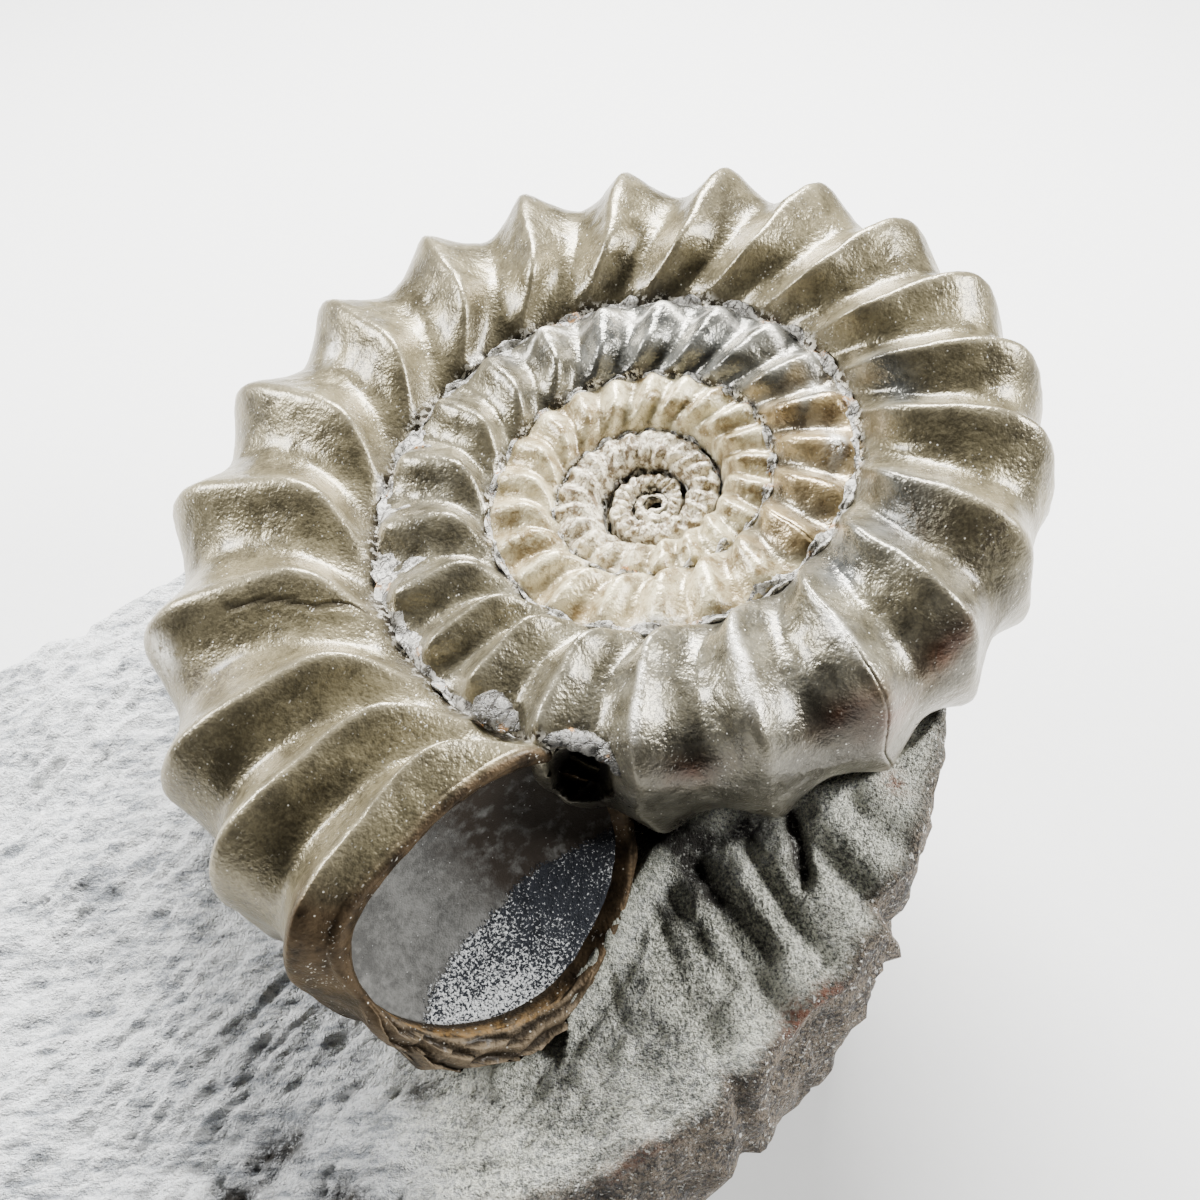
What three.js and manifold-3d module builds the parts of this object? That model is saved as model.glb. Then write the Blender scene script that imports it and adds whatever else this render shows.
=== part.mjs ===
// A coiled, ribbed ammonite on the loose piece of rock that it was found in.
// Lengths are millimetres. Angles are radians unless a name says degrees.
import * as THREE from 'three';
import Module from 'manifold-3d';

const wasm = await Module();
wasm.setup();

// The coil has a frame of its own: its axis is z, and the mouth is at a turn of 0.
// Negative turns run back from the mouth towards the middle of the coil.
const REACH = 12.57;
const GROWTH = 0.0951;
const GROWTH_CURVE = 0.0007;
const INNER_WIDENING = -0.03;
// Inside this turn the whorl tightens faster towards the first chamber.
const YOUNG_TURN = -18.8;
const YOUNG_GROWTH = 0.13;
const DEGREE = Math.PI / 180;
const FULL_TURN = 2 * Math.PI;

// How the coil leans in the finished piece, and how high its middle sits above the rock's flat base.
const COIL_SPIN = 41.9;
const COIL_TILT = 14.4;
const COIL_HEADING = -155.3;
const COIL_HEIGHT = 16.5;

// The whorl's section along a rib and between two ribs, in reaches.
const CREST = { out: 0.366, side: 0.334, square: 2.95 };
const DIP = { out: 0.322, side: 0.252, square: 2.19 };
const RIB_SHARPNESS = 1.69;
const RIB_LEAN = [-0.108, 0.119, -0.051];
const LEAN_ENDS = 0.8;
// Ribs fade on the wall that drops to the seam.
const RIB_FADE = { from: 1.7, to: 2.5, share: 0.8 };

// Degrees back from the mouth of each rib on the outer whorl and a little of the next.
const RIB_DEGREES = [
  7, 18.5, 31, 49, 67.5, 85.5, 103.5, 121.5, 138, 154.5, 171, 187, 203.5, 220,
  235.5, 250.5, 268.5, 284, 300.5, 318.5, 337, 353.5, 369.5, 382, 397.5, 416.5, 436.5, 455,
];
const INNER_RIB_STEP = 17;
const LIP_STEP = 11.5;
const RIB_COUNT = 96;
const SECTION_POINTS = 14;
const OUTER_PARTS_PER_RIB = 4;
const PARTS_PER_RIB = 3;
const OUTER_WHORL_RIBS = 18;
// The inner lengths of whorl, each from one rib to another as counted from the mouth.
const INNER_WHORLS = [
  { fromRib: 38, toRib: 18, partsPerRib: 3, sectionPoints: 12 },
  { fromRib: 58, toRib: 38, partsPerRib: 2, sectionPoints: 10 },
  { fromRib: 75, toRib: 58, partsPerRib: 1, sectionPoints: 10 },
  { fromRib: 90, toRib: 75, partsPerRib: 1, sectionPoints: 8 },
];
// An inner length ends in a tongue: two rings, each a step in turn with a smaller section.
const TONGUE = [
  { step: -0.01, scale: 0.98 },
  { step: 0.05, scale: 0.9 },
];
const TONGUE_RIB_WEIGHT = 0.9;

// The broken mouth: its turn changes round the section.
const MOUTH = { middle: 0.067, side: -0.127, out: -0.13 };
const LIP_ROWS = 3;

// Between two ribs the section shrinks to the dip and swells back to the next crest.
const crests = ribCrests();

function ribCrests() {
  const list = RIB_DEGREES.map((d) => -d * DEGREE);
  while (list.length < RIB_COUNT) {
    list.push(list[list.length - 1] - INNER_RIB_STEP * DEGREE);
  }
  return list.reverse();
}

function growth(turn) {
  const t = Math.max(turn, YOUNG_TURN);
  const young = Math.min(turn - YOUNG_TURN, 0);
  return Math.exp(GROWTH * t + GROWTH_CURVE * t * t + YOUNG_GROWTH * young);
}

function widening(turn) {
  return Math.exp(INNER_WIDENING * Math.max(turn, YOUNG_TURN));
}

function superEllipse(t, s) {
  const c = Math.cos(t);
  const d = Math.sin(t);
  const power = 2 / s.square;
  return [
    s.out * Math.sign(c) * Math.abs(c) ** power,
    s.side * Math.sign(d) * Math.abs(d) ** power,
  ];
}

// The section's outward and sideways offsets, in reaches; a rib weight of 1 is a crest.
function section(t, ribWeight) {
  const high = superEllipse(t, CREST);
  const low = superEllipse(t, DIP);
  const inward = Math.abs(t > Math.PI ? t - FULL_TURN : t);
  const fade = 1 - RIB_FADE.share * THREE.MathUtils.smoothstep(inward, RIB_FADE.from, RIB_FADE.to);
  return [
    low[0] + (high[0] - low[0]) * ribWeight * fade,
    low[1] + (high[1] - low[1]) * ribWeight * fade,
  ];
}

function lean(t) {
  const inward = Math.abs(t > Math.PI ? t - FULL_TURN : t);
  const u = Math.max(Math.PI / 2 - inward, -LEAN_ENDS);
  return RIB_LEAN[0] * u + RIB_LEAN[1] * u ** 2 + RIB_LEAN[2] * u ** 3;
}

function mouthTurn(t) {
  return MOUTH.middle + MOUTH.side * Math.sin(t) + MOUTH.out * Math.cos(t);
}

function ribWeightAt(turnAtRest) {
  const step = LIP_STEP * DEGREE;
  const last = crests[crests.length - 1];
  let before;
  let after;
  if (turnAtRest >= last) {
    const n = Math.floor((turnAtRest - last) / step);
    before = last + n * step;
    after = before + step;
  } else {
    let i = crests.length - 1;
    while (i > 0 && crests[i] > turnAtRest) i -= 1;
    before = crests[i];
    after = crests[i + 1];
  }
  const part = (turnAtRest - before) / (after - before);
  return Math.abs(2 * part - 1) ** RIB_SHARPNESS;
}

// One point of the shell, in the coil's frame, in millimetres.
function shellPoint(turn, t, ribWeight, scale = 1) {
  const g = growth(turn) * REACH;
  const [out, side] = section(t, ribWeight);
  const r = g * (1 + out * scale);
  return [
    r * Math.cos(turn),
    r * Math.sin(turn),
    g * side * scale * widening(turn),
  ];
}

// Joins rings of points into one closed body, with a fan over each end.
function bodyFromRings(rings) {
  const n = rings[0].length;
  const points = rings.flat();
  const faces = [];
  for (let i = 0; i < rings.length - 1; i += 1) {
    for (let k = 0; k < n; k += 1) {
      const a = i * n + k;
      const b = i * n + ((k + 1) % n);
      faces.push([a, b, b + n], [a, b + n, a + n]);
    }
  }
  closeEnd(points, faces, 0, n, false);
  closeEnd(points, faces, (rings.length - 1) * n, n, true);
  return solid(points, faces);
}

function closeEnd(points, faces, first, n, last) {
  const middle = [0, 0, 0];
  for (let k = 0; k < n; k += 1) {
    for (let c = 0; c < 3; c += 1) middle[c] += points[first + k][c] / n;
  }
  const m = points.length;
  points.push(middle);
  for (let k = 0; k < n; k += 1) {
    const a = first + k;
    const b = first + ((k + 1) % n);
    faces.push(last ? [a, b, m] : [b, a, m]);
  }
}

function signedVolume(points, faces) {
  let sum = 0;
  for (const [a, b, c] of faces) {
    const [p, q, r] = [points[a], points[b], points[c]];
    sum += p[0] * (q[1] * r[2] - q[2] * r[1])
      - p[1] * (q[0] * r[2] - q[2] * r[0])
      + p[2] * (q[0] * r[1] - q[1] * r[0]);
  }
  return sum / 6;
}

function solid(points, faces) {
  const outward = signedVolume(points, faces) > 0 ? faces : faces.map(([a, b, c]) => [a, c, b]);
  return new wasm.Manifold(new wasm.Mesh({
    numProp: 3,
    vertProperties: new Float32Array(points.flat()),
    triVerts: new Uint32Array(outward.flat()),
  }));
}

function sectionAngles(n) {
  return Array.from({ length: n }, (_, k) => (FULL_TURN * k) / n);
}

// The rings of one length of whorl, from one rib to another, counted from the mouth.
function whorlRings(fromRib, toRib, partsPerRib, sectionPoints = SECTION_POINTS) {
  const rings = [];
  const angles = sectionAngles(sectionPoints);
  const top = crests.length - 1;
  for (let i = top - fromRib; i < top - toRib; i += 1) {
    for (let k = 0; k < partsPerRib; k += 1) {
      const part = k / partsPerRib;
      const rest = crests[i] + (crests[i + 1] - crests[i]) * part;
      const weight = Math.abs(2 * part - 1) ** RIB_SHARPNESS;
      rings.push(angles.map((t) => shellPoint(rest + lean(t), t, weight)));
    }
  }
  rings.push(angles.map((t) => shellPoint(crests[top - toRib] + lean(t), t, 1)));
  return rings;
}

// The last rings run from the first rib out to the broken mouth.
function lipRings() {
  const rings = [];
  const start = crests[crests.length - 1];
  for (let q = 1; q <= LIP_ROWS; q += 1) {
    const part = q / LIP_ROWS;
    rings.push(sectionAngles(SECTION_POINTS).map((t) => {
      const turn = (1 - part) * (start + lean(t)) + part * mouthTurn(t);
      return shellPoint(turn, t, ribWeightAt(turn - lean(t)));
    }));
  }
  return rings;
}

// The tongue of an inner length of whorl sits inside the next length.
function innerWhorl({ fromRib, toRib, partsPerRib, sectionPoints }) {
  const rings = whorlRings(fromRib, toRib, partsPerRib, sectionPoints).slice(0, -1);
  const end = crests[crests.length - 1 - toRib];
  for (const { step, scale } of TONGUE) {
    rings.push(sectionAngles(sectionPoints).map((t) => (
      shellPoint(end + step + lean(t), t, TONGUE_RIB_WEIGHT, scale)
    )));
  }
  return bodyFromRings(rings);
}

// Moves every point of each ring outwards from the ring's middle.
function grow(rings, distance) {
  return rings.map((ring) => {
    const middle = [0, 1, 2].map((c) => ring.reduce((s, p) => s + p[c] / ring.length, 0));
    return ring.map((p) => {
      const away = p.map((v, c) => v - middle[c]);
      const far = Math.hypot(...away);
      return p.map((v, c) => v + (away[c] / far) * distance);
    });
  });
}

function ellipsoid(centre, { size, columns, rows }) {
  const g = new THREE.SphereGeometry(1, columns, rows);
  const position = g.attributes.position;
  const points = [];
  const seen = new Map();
  const renamed = [];
  for (let i = 0; i < position.count; i += 1) {
    const p = [position.getX(i), position.getY(i), position.getZ(i)];
    const key = p.map((v) => v.toFixed(5).replace('-0.00000', '0.00000')).join(' ');
    if (!seen.has(key)) {
      seen.set(key, points.length);
      points.push(p.map((v, c) => centre[c] + v * size[c]));
    }
    renamed.push(seen.get(key));
  }
  const faces = [];
  for (let i = 0; i < g.index.count; i += 3) {
    const f = [0, 1, 2].map((k) => renamed[g.index.getX(i + k)]);
    if (new Set(f).size === 3) faces.push(f);
  }
  return solid(points, faces);
}

// A point given by its distance from the axis, its turn and its height along the axis.
function coilPoint(radius, turn, height) {
  return [radius * Math.cos(turn), radius * Math.sin(turn), height];
}

// The mouth is hollowed to a shallow dish; the sediment plug fills its far end.
const CAVITY_WALL = 0.89;
const CAVITY_DEPTH = [
  { back: -0.16, scale: 1 },
  { back: 0.05, scale: 1 },
  { back: 0.15, scale: 0.93 },
  { back: 0.22, scale: 0.72 },
  { back: 0.26, scale: 0.4 },
];
const FILL_GAP = 0.006;
const FILL_CLEARANCE = 0.08;
// The length of older whorl that the plug has to clear.
const BESIDE_FILL = { fromRib: 24, toRib: 18, sectionPoints: 12 };
const DISH_DEPTH = [
  { back: -0.2, scale: 1.02 },
  { back: 0.02, scale: 0.96 },
  { back: 0.09, scale: 0.8 },
  { back: 0.14, scale: 0.55 },
  { back: 0.16, scale: 0.25 },
];
const CAVITY_POINTS = 14;

function mouthTool(depths, wall) {
  return bodyFromRings(depths.map(({ back, scale }) => sectionAngles(CAVITY_POINTS).map((t) => (
    shellPoint(mouthTurn(t) - back, t, 0, wall * scale)
  ))));
}

// The small dark pit above the mouth, between the broken whorl and the one before it.
const PIT = { radius: 9.55, turn: 0.17, height: 1.5, size: [0.75, 0.75, 1.1], columns: 10, rows: 6 };
const FIRST_CHAMBER = { size: [1.6, 1.6, 0.62], columns: 12, rows: 6 };
const CORE = { size: [3.2, 3.2, 0.42], columns: 10, rows: 4 };

function buildAmmonite() {
  const outer = whorlRings(OUTER_WHORL_RIBS, 0, OUTER_PARTS_PER_RIB).concat(lipRings());
  let shell = bodyFromRings(outer).subtract(mouthTool(CAVITY_DEPTH, CAVITY_WALL));
  for (const length of INNER_WHORLS) shell = shell.add(innerWhorl(length));
  return shell
    .add(ellipsoid([0, 0, 0], FIRST_CHAMBER))
    .add(ellipsoid([0, 0, 0], CORE))
    .subtract(ellipsoid(coilPoint(PIT.radius, PIT.turn, PIT.height), PIT));
}

function buildMouthFill() {
  const plug = mouthTool(CAVITY_DEPTH.slice(1).map(({ back, scale }) => (
    { back: back - FILL_GAP, scale: scale - FILL_GAP }
  )), CAVITY_WALL);
  const { fromRib, toRib, sectionPoints } = BESIDE_FILL;
  const older = whorlRings(fromRib, toRib, PARTS_PER_RIB, sectionPoints);
  const olderWhorl = bodyFromRings(grow(older, FILL_CLEARANCE));
  return plug.subtract(mouthTool(DISH_DEPTH, CAVITY_WALL)).subtract(olderWhorl);
}

// The pale crust lies in the seam, then arches over the pit. Half-widths vary along it.
const SEAM = { radius: 0.735, height: 0.158 };
const CRUST_START = -1.95;
const CRUST_ROWS = 18;
const CRUST_POINTS = 6;
const CRUST_HALF_HEIGHT = 0.28;
const CRUST_LIFT = 0.2;
const CRUST_CLEARANCE = 0.04;
const CRUST_WIDTH = [0.2, 0.28, 0.36, 0.28, 0.4, 0.44, 0.3, 0.34, 0.44, 0.3, 0.26, 0.3, 0.34, 0.26];
const ARCH = [
  { turn: 0.1, radius: 9.1, height: 2.75 },
  { turn: 0.2, radius: 9.1, height: 2.85 },
  { turn: 0.29, radius: 9.3, height: 2.8 },
  { turn: 0.36, radius: 9.95, height: 2.5 },
];
const NODULE = { turn: -0.1, radius: 8.75, height: 2.55, size: [0.75, 0.5, 0.3], columns: 8, rows: 6 };
// The two lengths of whorl on either side of the crust.
const BESIDE_CRUST = {
  outer: { fromRib: 8, toRib: 0 },
  inner: { fromRib: 32, toRib: 19, sectionPoints: 12 },
};

function crustPath() {
  const path = [];
  for (let i = 0; i < CRUST_ROWS; i += 1) {
    const turn = CRUST_START * (1 - i / (CRUST_ROWS - 1));
    const g = growth(turn) * REACH;
    path.push({
      turn,
      radius: SEAM.radius * g,
      height: SEAM.height * g * widening(turn) + CRUST_LIFT,
    });
  }
  return path.concat(ARCH);
}

function crustRings() {
  const path = crustPath();
  return path.map(({ turn, radius, height }, i) => {
    const place = (i / (path.length - 1)) * (CRUST_WIDTH.length - 1);
    const low = Math.min(Math.floor(place), CRUST_WIDTH.length - 2);
    const width = CRUST_WIDTH[low] + (CRUST_WIDTH[low + 1] - CRUST_WIDTH[low]) * (place - low);
    return sectionAngles(CRUST_POINTS).map((t) => coilPoint(
      radius + width * Math.cos(t),
      turn,
      height + CRUST_HALF_HEIGHT * Math.sin(t),
    ));
  });
}

function grownShell() {
  const { outer, inner } = BESIDE_CRUST;
  const near = whorlRings(outer.fromRib, outer.toRib, PARTS_PER_RIB).concat(lipRings());
  const older = whorlRings(inner.fromRib, inner.toRib, PARTS_PER_RIB, inner.sectionPoints);
  return bodyFromRings(grow(near, CRUST_CLEARANCE)).add(bodyFromRings(grow(older, CRUST_CLEARANCE)));
}

function buildSeamCrust(ammonite) {
  const nodule = ellipsoid(coilPoint(NODULE.radius, NODULE.turn, NODULE.height), NODULE);
  return bodyFromRings(crustRings()).add(nodule).subtract(grownShell()).subtract(ammonite);
}

// The rock, in the finished piece's own directions, measured from the coil's middle.
// Each corner of its upper edge is x, y, how far its side leans out, and how far the base draws in.
const ROCK_EDGE = [
  [8.0, -4.4, 0.2, 0.6], [8.1, -5.9, 0.1, 0.8], [7.9, -7.1, 0.1, 0.9], [7.5, -8.3, 0.1, 0.8],
  [7.5, -9.4, 0.2, 1.0], [6.9, -10.4, 0.2, 0.9], [6.2, -11.3, 0.3, 0.8], [5.8, -12.1, 0.4, 0.6],
  [5.1, -13.0, 0.7, 0.4], [4.2, -13.8, 0.8, 0.5], [3.2, -14.7, 0.8, 0.5], [2.1, -15.6, 0.9, 0.6],
  [0.2, -16.7, 0.8, 0.7], [-1.4, -17.3, 0.8, 0.4], [-4.0, -18.0, 0.9, 0.7], [-6.6, -17.6, 0.6, 0.9],
  [-9.6, -17.8, 0.9, 0.6], [-13.2, -17.4, 0.7, 1.0], [-17.0, -17.5, 0.9, 0.8], [-20.6, -16.6, 0.8, 1.2],
  [-23.8, -15.2, 0.9, 0.9], [-26.2, -12.3, 0.8, 1.3], [-27.6, -8.6, 0.7, 0.8], [-28.2, -4.8, 0.9, 1.2],
  [-27.2, -1.4, 0.6, 0.9], [-24.2, 1.0, 0.5, 0.8], [-22.4, 1.9, 0.5, 1.1], [-20.9, 2.0, 0.4, 0.8],
  [-19.4, 3.4, 0.5, 0.7], [-17.0, 4.9, 0.6, 1.0], [-13.4, 6.8, 0.7, 0.8], [-9.2, 7.9, 0.6, 1.2],
  [-4.6, 8.3, 0.8, 0.9], [-0.6, 7.6, 0.6, 0.8], [2.8, 5.9, 0.7, 1.1], [5.6, 3.1, 0.6, 0.9],
  [7.2, 0.2, 0.5, 0.7], [7.9, -2.2, 0.4, 0.8],
];
const ROCK_MIDDLE = [-9.5, -6];
const ROCK_RINGS = [0.25, 0.5, 0.72, 0.9];
const SIDE_DROPS = [0.14, 0.5];
const ROCK_LEVEL = { left: -3.95, right: -2.3, riseX: [-3, 6], riseY: [-19, -12] };
const ROCK_WAVES = [
  { high: 0.22, x: 0.55, y: 0.35, start: 0 },
  { high: 0.16, x: -0.4, y: 0.9, start: 1 },
];
// The upper edge is worn down a little; the sides swell below it, then draw in to the base.
const EDGE_WEAR = 0.15;
const SWELL = 1.4;
const SIDE_ROUGHNESS = { high: 0.22, along: 2.4, down: 9 };
const BOSS = { radius: 4.4, lean: 0.9, top: -2.9, bottom: -6, columns: 12 };
const SEAT_GROWN = 0.33;
const SEAT_POINTS = 14;
const SEAT_SQUARE = 2.5;
const SEAT_STEP = 12;
const SEAT_HALF_RIB = 14;
const SEAT_LAST_RIB = 28;

// Height along the coil's axis of the rock's upper surface before the shell's bed is cut in it.
function rockLevel(x, y) {
  const { left, right, riseX, riseY } = ROCK_LEVEL;
  const rise = THREE.MathUtils.smoothstep(x, ...riseX) * THREE.MathUtils.smoothstep(y, ...riseY);
  const waves = ROCK_WAVES.reduce((sum, w) => sum + w.high * Math.sin(w.x * x + w.y * y + w.start), 0);
  return left + (right - left) * rise + waves;
}

const coilToPiece = new THREE.Matrix4()
  .makeRotationZ(COIL_HEADING * DEGREE)
  .multiply(new THREE.Matrix4().makeRotationY(COIL_TILT * DEGREE))
  .multiply(new THREE.Matrix4().makeRotationZ(COIL_SPIN * DEGREE));
const pieceToCoil = coilToPiece.clone().invert();
const axisInPiece = new THREE.Vector3(0, 0, 1).applyMatrix4(coilToPiece);

function rockTop(x, y) {
  return (rockLevel(x, y) - axisInPiece.x * x - axisInPiece.y * y) / axisInPiece.z;
}

function rockRings() {
  const rings = ROCK_RINGS.map((part) => ROCK_EDGE.map(([x, y]) => {
    const px = ROCK_MIDDLE[0] + (x - ROCK_MIDDLE[0]) * part;
    const py = ROCK_MIDDLE[1] + (y - ROCK_MIDDLE[1]) * part;
    return [px, py, rockTop(px, py)];
  }));
  rings.push(ROCK_EDGE.map(([x, y]) => [x, y, rockTop(x, y) - EDGE_WEAR]));
  for (const drop of SIDE_DROPS.concat(1)) {
    rings.push(ROCK_EDGE.map(([x, y, out, draw], i) => {
      const top = rockTop(x, y) - EDGE_WEAR;
      const away = [x - ROCK_MIDDLE[0], y - ROCK_MIDDLE[1]];
      const far = Math.hypot(...away);
      const bulge = Math.sin(Math.PI * Math.min(1, drop * SWELL)) * out - draw * drop * drop;
      const { high, along, down } = SIDE_ROUGHNESS;
      const push = bulge + (drop < 1 ? high * Math.sin(i * along + drop * down) : 0);
      return [
        x + (away[0] / far) * push,
        y + (away[1] / far) * push,
        top + (-COIL_HEIGHT - top) * drop,
      ];
    }));
  }
  return rings;
}

function seatTool(from, to) {
  const rings = [];
  const rows = Math.round((to - from) / (SEAT_STEP * DEGREE));
  for (let i = 0; i <= rows; i += 1) {
    const turn = from + ((to - from) * i) / rows;
    const g = growth(turn) * REACH;
    rings.push(sectionAngles(SEAT_POINTS).map((t) => {
      const [out, side] = superEllipse(t, { ...CREST, square: SEAT_SQUARE });
      const more = 1 + SEAT_GROWN / (g * CREST.side);
      return coilPoint(g * (1 + out * more), turn, g * side * more * widening(turn));
    }));
  }
  return bodyFromRings(rings);
}

// The mould of the missing next part of the whorl: close ribs that lean forward.
const MOULD = { from: 0.02, to: 1.8, step: 0.0775, high: 0.55, low: 0.2, grown: 1.02, points: 14 };
const MOULD_LEAN = { slope: 0.4, least: -0.2 };

function mouldTool() {
  const rings = [];
  const rows = Math.ceil((MOULD.to - MOULD.from) / MOULD.step);
  for (let i = 0; i < rows; i += 1) {
    const turn = MOULD.from + i * MOULD.step;
    const weight = i % 2 ? MOULD.high : MOULD.low;
    rings.push(sectionAngles(MOULD.points).map((t) => {
      const [out] = section(t, weight);
      const forward = MOULD_LEAN.slope * Math.max(out, MOULD_LEAN.least);
      return shellPoint(turn + forward, t, weight, MOULD.grown);
    }));
  }
  return bodyFromRings(rings);
}

function buildRock() {
  const toCoil = (p) => new THREE.Vector3(...p).applyMatrix4(pieceToCoil).toArray();
  const block = bodyFromRings(rockRings().map((ring) => ring.map(toCoil)));
  const columns = sectionAngles(BOSS.columns);
  const boss = bodyFromRings([
    columns.map((a) => coilPoint(BOSS.radius, a, BOSS.bottom)),
    columns.map((a) => coilPoint(BOSS.radius * BOSS.lean, a, BOSS.top)),
  ]);
  const half = crests[crests.length - 1 - SEAT_HALF_RIB];
  return block.add(boss)
    .subtract(seatTool(half, mouthTurn(Math.PI)))
    .subtract(seatTool(crests[crests.length - 1 - SEAT_LAST_RIB], half))
    .subtract(mouldTool());
}

// Joins and cuts leave a few very short edges; each is drawn together to one point.
const SHORTEST_EDGE = 0.03;

function closeShortEdges(points, faces) {
  const near = (a, b) => Math.hypot(...points[a].map((v, c) => v - points[b][c])) < SHORTEST_EDGE;
  const kept = new Map();
  const busy = new Set();
  const around = points.map(() => new Set());
  for (const f of faces) {
    f.forEach((a, k) => around[a].add(f[(k + 1) % 3]).add(f[(k + 2) % 3]));
  }
  for (const f of faces) {
    for (let k = 0; k < 3; k += 1) {
      const [a, b] = [f[k], f[(k + 1) % 3]];
      const shared = [...around[a]].filter((v) => around[b].has(v)).length;
      if (a < b && near(a, b) && shared === 2 && !busy.has(a) && !busy.has(b)) {
        kept.set(b, a);
        for (const v of [a, b, ...around[a], ...around[b]]) busy.add(v);
      }
    }
  }
  const renamed = faces.map((f) => f.map((v) => (kept.has(v) ? kept.get(v) : v)));
  return { faces: renamed.filter((f) => new Set(f).size === 3), closed: kept.size };
}

function meshOf(body, name, material) {
  const { numProp, vertProperties, triVerts } = body.getMesh();
  const geometry = new THREE.BufferGeometry();
  const points = [];
  for (let i = 0; i < vertProperties.length; i += numProp) {
    points.push([vertProperties[i], vertProperties[i + 1], vertProperties[i + 2]]);
  }
  let faces = [];
  for (let i = 0; i < triVerts.length; i += 3) faces.push([...triVerts.slice(i, i + 3)]);
  let closed = 1;
  while (closed > 0) ({ faces, closed } = closeShortEdges(points, faces));
  geometry.setAttribute('position', new THREE.Float32BufferAttribute(points.flat(), 3));
  geometry.setIndex(faces.flat());
  geometry.applyMatrix4(coilToPiece);
  geometry.computeVertexNormals();
  const mesh = new THREE.Mesh(geometry, material);
  mesh.name = name;
  return mesh;
}

function stoneLike(colour, roughness) {
  return new THREE.MeshStandardMaterial({ color: colour, roughness, metalness: 0 });
}

const ammonite = buildAmmonite();
const group = new THREE.Group();
group.add(meshOf(ammonite, 'ammonite', stoneLike('#8c8470', 0.35)));
group.add(meshOf(buildMouthFill(), 'mouth_fill', stoneLike('#77797c', 0.85)));
group.add(meshOf(buildSeamCrust(ammonite), 'seam_crust', stoneLike('#c9c6bf', 0.7)));
group.add(meshOf(buildRock(), 'matrix_rock', stoneLike('#a9aaa8', 0.9)));

// The origin is the middle of the footprint on the flat base.
const box = new THREE.Box3().setFromObject(group);
const shift = new THREE.Vector3(
  -(box.min.x + box.max.x) / 2,
  -(box.min.y + box.max.y) / 2,
  COIL_HEIGHT,
);
for (const mesh of group.children) mesh.geometry.translate(shift.x, shift.y, shift.z);

export default group;
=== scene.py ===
# A coiled, ribbed ammonite on its loose piece of matrix rock, dressed for a close view.
# Shapes are worked out in millimetres and written to the meshes in metres.
import math

import bpy
import numpy as np
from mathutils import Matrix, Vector


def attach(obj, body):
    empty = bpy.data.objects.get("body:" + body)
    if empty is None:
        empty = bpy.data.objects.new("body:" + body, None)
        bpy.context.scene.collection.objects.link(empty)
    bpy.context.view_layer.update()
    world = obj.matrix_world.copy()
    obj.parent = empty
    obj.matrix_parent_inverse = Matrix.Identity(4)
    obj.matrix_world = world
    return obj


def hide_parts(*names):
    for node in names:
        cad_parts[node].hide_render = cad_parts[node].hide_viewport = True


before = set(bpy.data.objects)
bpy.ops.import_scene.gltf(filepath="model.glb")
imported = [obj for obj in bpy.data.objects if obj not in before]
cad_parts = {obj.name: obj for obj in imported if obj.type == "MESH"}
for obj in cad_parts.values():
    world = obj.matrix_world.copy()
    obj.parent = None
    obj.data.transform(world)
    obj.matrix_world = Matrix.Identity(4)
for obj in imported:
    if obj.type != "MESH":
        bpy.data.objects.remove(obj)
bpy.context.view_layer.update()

MM = 0.001
TURN = 2 * math.pi

# The coil in its own frame: its axis is z and the mouth is at a turn of 0; older shell has negative turns.
REACH = 12.57
GROWTH = 0.0951
GROWTH_CURVE = 0.0007
INNER_WIDENING = -0.03
YOUNG_TURN = -18.8
YOUNG_GROWTH = 0.13
CREST = {"out": 0.366, "side": 0.334, "square": 2.95}
DIP = {"out": 0.322, "side": 0.252, "square": 2.19}
RIB_SHARPNESS = 1.69
CREST_ROUNDING = 0.13
OLDER_ROUNDING = 0.34
ROUNDED_RIBS = (-7.4, -5.9)
BEADED_RIBS = (-11.2, -6.0)
YOUNG_FLATTENING = 0.2
COVERED_FROM = (-6.5, -6.15)
COVERED_SIDE = (0.72, 1.3)
COVERED_WEIGHT = 0.5
RIB_LEAN = (-0.108, 0.119, -0.051)
LEAN_ENDS = 0.8
RIB_FADE = {"start": 1.7, "end": 2.5, "share": 0.8}
RIB_DEGREES = (
    7, 18.5, 31, 49, 67.5, 85.5, 103.5, 121.5, 138, 154.5, 171, 187, 203.5, 220,
    235.5, 250.5, 268.5, 284, 300.5, 318.5, 337, 353.5, 369.5, 382, 397.5, 416.5, 436.5, 455,
)
INNER_RIB_STEP = 17
RIB_COUNT = 104
LIP_STEP = math.radians(11.5)
MOUTH = {"middle": 0.067, "side": -0.127, "out": -0.13}
CAVITY_WALL = 0.93

# The coil's lean in the finished piece, and its middle in millimetres.
COIL_SPIN = math.radians(41.9)
COIL_TILT = math.radians(14.4)
COIL_HEADING = math.radians(-155.3)
COIL_MIDDLE = np.array([8.6055, 2.6936, 16.5])


def about_z(angle):
    c, s = math.cos(angle), math.sin(angle)
    return np.array([[c, -s, 0], [s, c, 0], [0, 0, 1]])


def about_y(angle):
    c, s = math.cos(angle), math.sin(angle)
    return np.array([[c, 0, s], [0, 1, 0], [-s, 0, c]])


COIL_TO_PIECE = about_z(COIL_HEADING) @ about_y(COIL_TILT) @ about_z(COIL_SPIN)


def to_piece(points):
    return points @ COIL_TO_PIECE.T + COIL_MIDDLE


LAYER_SHIFT = 17.3
NOISE_LEVEL = 1.6


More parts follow.
